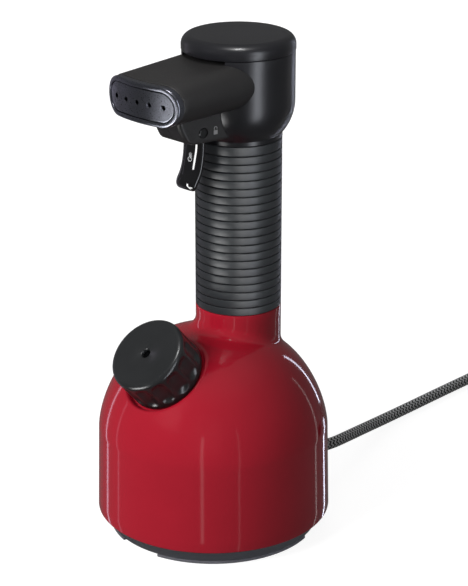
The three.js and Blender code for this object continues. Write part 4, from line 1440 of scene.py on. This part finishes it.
def makeSteamSign():
    shape = signShape
    ring = [(1.5 * math.cos(k / 24 * 2 * math.pi), -1.2 + 1.25 * math.sin(k / 24 * 2 * math.pi))
        for k in range(25)]
    strokes = [stroke(ring, shape["line"])]
    for x, low, high in ((-0.85, 0.2, 2.2), (0.05, -0.9, 2.8), (0.95, 0.2, 2.2)):
        wave = [(x + 0.22 * math.sin(k / 14 * 2 * math.pi), low + (high - low) * k / 14) for k in range(15)]
        strokes.append(stroke(wave, shape["line"]))
    laid = []
    for points, faces in strokes:
        z = shape["steamHeight"] + points[:, 1]
        y = np.interp(z, leverHeights[::-1], leverFronts[::-1]) - points[:, 2]
        laid.append((np.stack([points[:, 0], y, z], 1), faces))
    return newPiece("steamSign", laid, printedInk)


finish(makePadlock(), "housing", "black_plastic")
finish(makeSteamSign(), "trigger", "piano_black")
print("signs made")


# ---- base tray and feet ----

trayShape = {
    "profile": [(0, 2), (64.6, 2), (68.2, 10.6), (68.8, 10.6), (68.8, 19), (66.6, 19), (66.6, 12.5),
        (62, 5), (0, 5)],
    "screwAngles": (30, 150, 270),
    "screwRadius": 60.8,
    "screwSeat": 4.2,
    "bossRadius": 64,
    "footRadius": 60.8,
    "footWidth": 7.6,
    "footHeight": 2.0,
    "footEdge": 0.55,
    "footGap": 13.6,             # degrees left at each end
}


def makeTray():
    shape = trayShape
    tray = newPiece("baseTray", turned(rounded(shape["profile"], 0.4, 2), 240), basePolypropylene)
    tools = [tool(onOutlet(rod(7.9, -4, 14, 64)))]
    for angle in shape["screwAngles"]:
        turn = math.radians(angle)
        away = Vector((math.cos(turn), math.sin(turn)))
        step = [(0, 1), (3.2, 1), (3.2, shape["screwSeat"]), (1.7, shape["screwSeat"]), (1.7, 9), (0, 9)]
        tools.append(tool(turned(step, 48, tuple(away * shape["screwRadius"]))))
        tools.append(tool(turned([(0, 10.6), (5.6, 10.6), (5.6, 25), (0, 25)], 48,
            tuple(away * shape["bossRadius"]))))
    return carve(tray, *tools, sharp=32)


def makeBaseScrew(node, name):
    # a pan head sunk into the tray, with a cross slot
    shape = trayShape
    low, high = boxMm(node)
    centre = (low + high) / 2
    centre.xy = centre.xy.normalized() * shape["screwRadius"]
    head = shape["screwSeat"]
    profile = [(0, head - 1.7), (1.6, head - 1.65), (2.4, head - 1.3), (2.9, head - 0.7), (2.9, head),
        (1.5, head)]
    profile += [(1.5, high.z - 0.8), (0.9, high.z), (0, high.z)]
    screw = newPiece(name, turned(profile, 40, tuple(centre.xy)), zincSteel)
    slots = []
    for length, width in ((1.9, 0.35), (0.35, 1.9)):
        slots.append(tool(slab(
            centre.x - length, centre.x + length, centre.y - width, centre.y + width, head - 2.5, head - 0.8,
        )))
    return carve(screw, *slots)


def footTree():
    # equal padded arcs set out round the Z axis
    tree = bpy.data.node_groups.new("rubberFeet", "GeometryNodeTree")
    for name, kind in (
        ("Radius", "NodeSocketFloat"), ("Width", "NodeSocketFloat"), ("Height", "NodeSocketFloat"),
        ("Edge", "NodeSocketFloat"), ("Start", "NodeSocketFloat"), ("Sweep", "NodeSocketFloat"),
        ("Count", "NodeSocketInt"), ("Material", "NodeSocketMaterial"),
    ):
        tree.interface.new_socket(name, in_out="INPUT", socket_type=kind)
    tree.interface.new_socket("Geometry", in_out="OUTPUT", socket_type="NodeSocketGeometry")
    given = addNode(tree, "NodeGroupInput").outputs
    arc = addNode(tree, "GeometryNodeCurveArc", {
        "Resolution": 72, "Radius": given["Radius"], "Start Angle": given["Start"],
        "Sweep Angle": given["Sweep"],
    })
    section = addNode(tree, "GeometryNodeCurvePrimitiveQuadrilateral",
        {"Width": given["Width"], "Height": given["Height"]})
    eased = addNode(tree, "GeometryNodeFilletCurve", {
        "Curve": section.outputs[0], "Radius": given["Edge"], "Count": 4,
    }, mode="POLY")
    pad = addNode(tree, "GeometryNodeCurveToMesh", {
        "Curve": arc.outputs[0], "Profile Curve": eased.outputs[0], "Fill Caps": True,
    })
    lift = addNode(tree, "ShaderNodeMath", {0: given["Height"], 1: 0.5}, operation="MULTIPLY")
    middle = addNode(tree, "ShaderNodeCombineXYZ", {"Z": lift.outputs[0]})
    places = addNode(tree, "GeometryNodeMeshLine",
        {"Count": given["Count"], "Start Location": middle.outputs[0], "Offset": (0, 0, 0)})
    share = addNode(tree, "ShaderNodeMath", {0: 2 * math.pi, 1: given["Count"]}, operation="DIVIDE")
    order = addNode(tree, "GeometryNodeInputIndex")
    angle = addNode(tree, "ShaderNodeMath", {0: order.outputs[0], 1: share.outputs[0]}, operation="MULTIPLY")
    turn = addNode(tree, "ShaderNodeCombineXYZ", {"Z": angle.outputs[0]})
    copies = addNode(tree, "GeometryNodeInstanceOnPoints", {
        "Points": places.outputs[0], "Instance": pad.outputs[0], "Rotation": turn.outputs[0],
    })
    whole = addNode(tree, "GeometryNodeRealizeInstances", {"Geometry": copies.outputs[0]})
    painted = addNode(tree, "GeometryNodeSetMaterial",
        {"Geometry": whole.outputs[0], "Material": given["Material"]})
    addNode(tree, "NodeGroupOutput", {"Geometry": painted.outputs[0]})
    return tree


def makeFeet():
    shape = trayShape
    feet = grown("rubberFeet", footTree(), {
        "Radius": shape["footRadius"] * mm, "Width": shape["footWidth"] * mm,
        "Height": shape["footHeight"] * mm,
        "Edge": shape["footEdge"] * mm, "Start": math.radians(shape["footGap"] - 90),
        "Sweep": math.radians(120 - 2 * shape["footGap"]), "Count": 3,
    }, footRubber)
    soften(feet)
    return feet


finish(makeTray(), "housing", "grey_plastic", "base_plate")
finish(makeFeet(), "housing", "grey_plastic", "foot_right", "foot_back", "foot_left")
for number in (1, 2, 3):
    finish(makeBaseScrew(f"base_screw_{number}", f"baseScrew{number}"), "housing", "steel",
        f"base_screw_{number}")
print("base made")


# ---- carried-over inner parts ----

slotLooks = {
    "red_gloss": redGlossAbs,
    "black_plastic": semiGlossAbs,
    "satin_black": satinNylon,
    "grey_plastic": basePolypropylene,
    "grip_rubber": gripRubber,
    "piano_black": pianoAbs,
    "gunmetal": gunmetalSteel,
    "aluminium": castAluminium,
    "steel": zincSteel,
    "brass": turnedBrass,
    "silicone": mouldedSilicone,
    "board": solderMask,
    "braid": mouldedPvc,
}
for part in frame["record"]["subparts"]:
    frame["nodes"][part["node"]].data.materials[0] = slotLooks[part["material_slot"]]
# the pressure pin gets a near-black colour, a painted shade for the hole in the cap
frame["nodes"]["relief_pin"].data.materials[0] = blackenedSteel
print("inner parts coloured")


# ---- softboxes that only the black parts mirror ----

mirroring = {
    "black": ("headShell", "headLid", "nozzleShell", "nozzleRim", "steamPlate", "gripSleeve", "gripCore",
              "triggerHousing", "triggerLever", "lockButton", "fillerCap", "baseTray", "rubberFeet"),
    "grip": ("gripSleeve", "gripCore"),
    "trigger": ("triggerLever",),
}
for start, names in mirroring.items():
    lit = bpy.data.collections.new(f"{start}Mirrors")
    for name in names:
        lit.objects.link(bpy.data.objects[name])
    for lamp in scene.objects:
        if lamp.type == "LIGHT" and lamp.name.startswith(start):
            lamp.light_linking.receiver_collection = lit
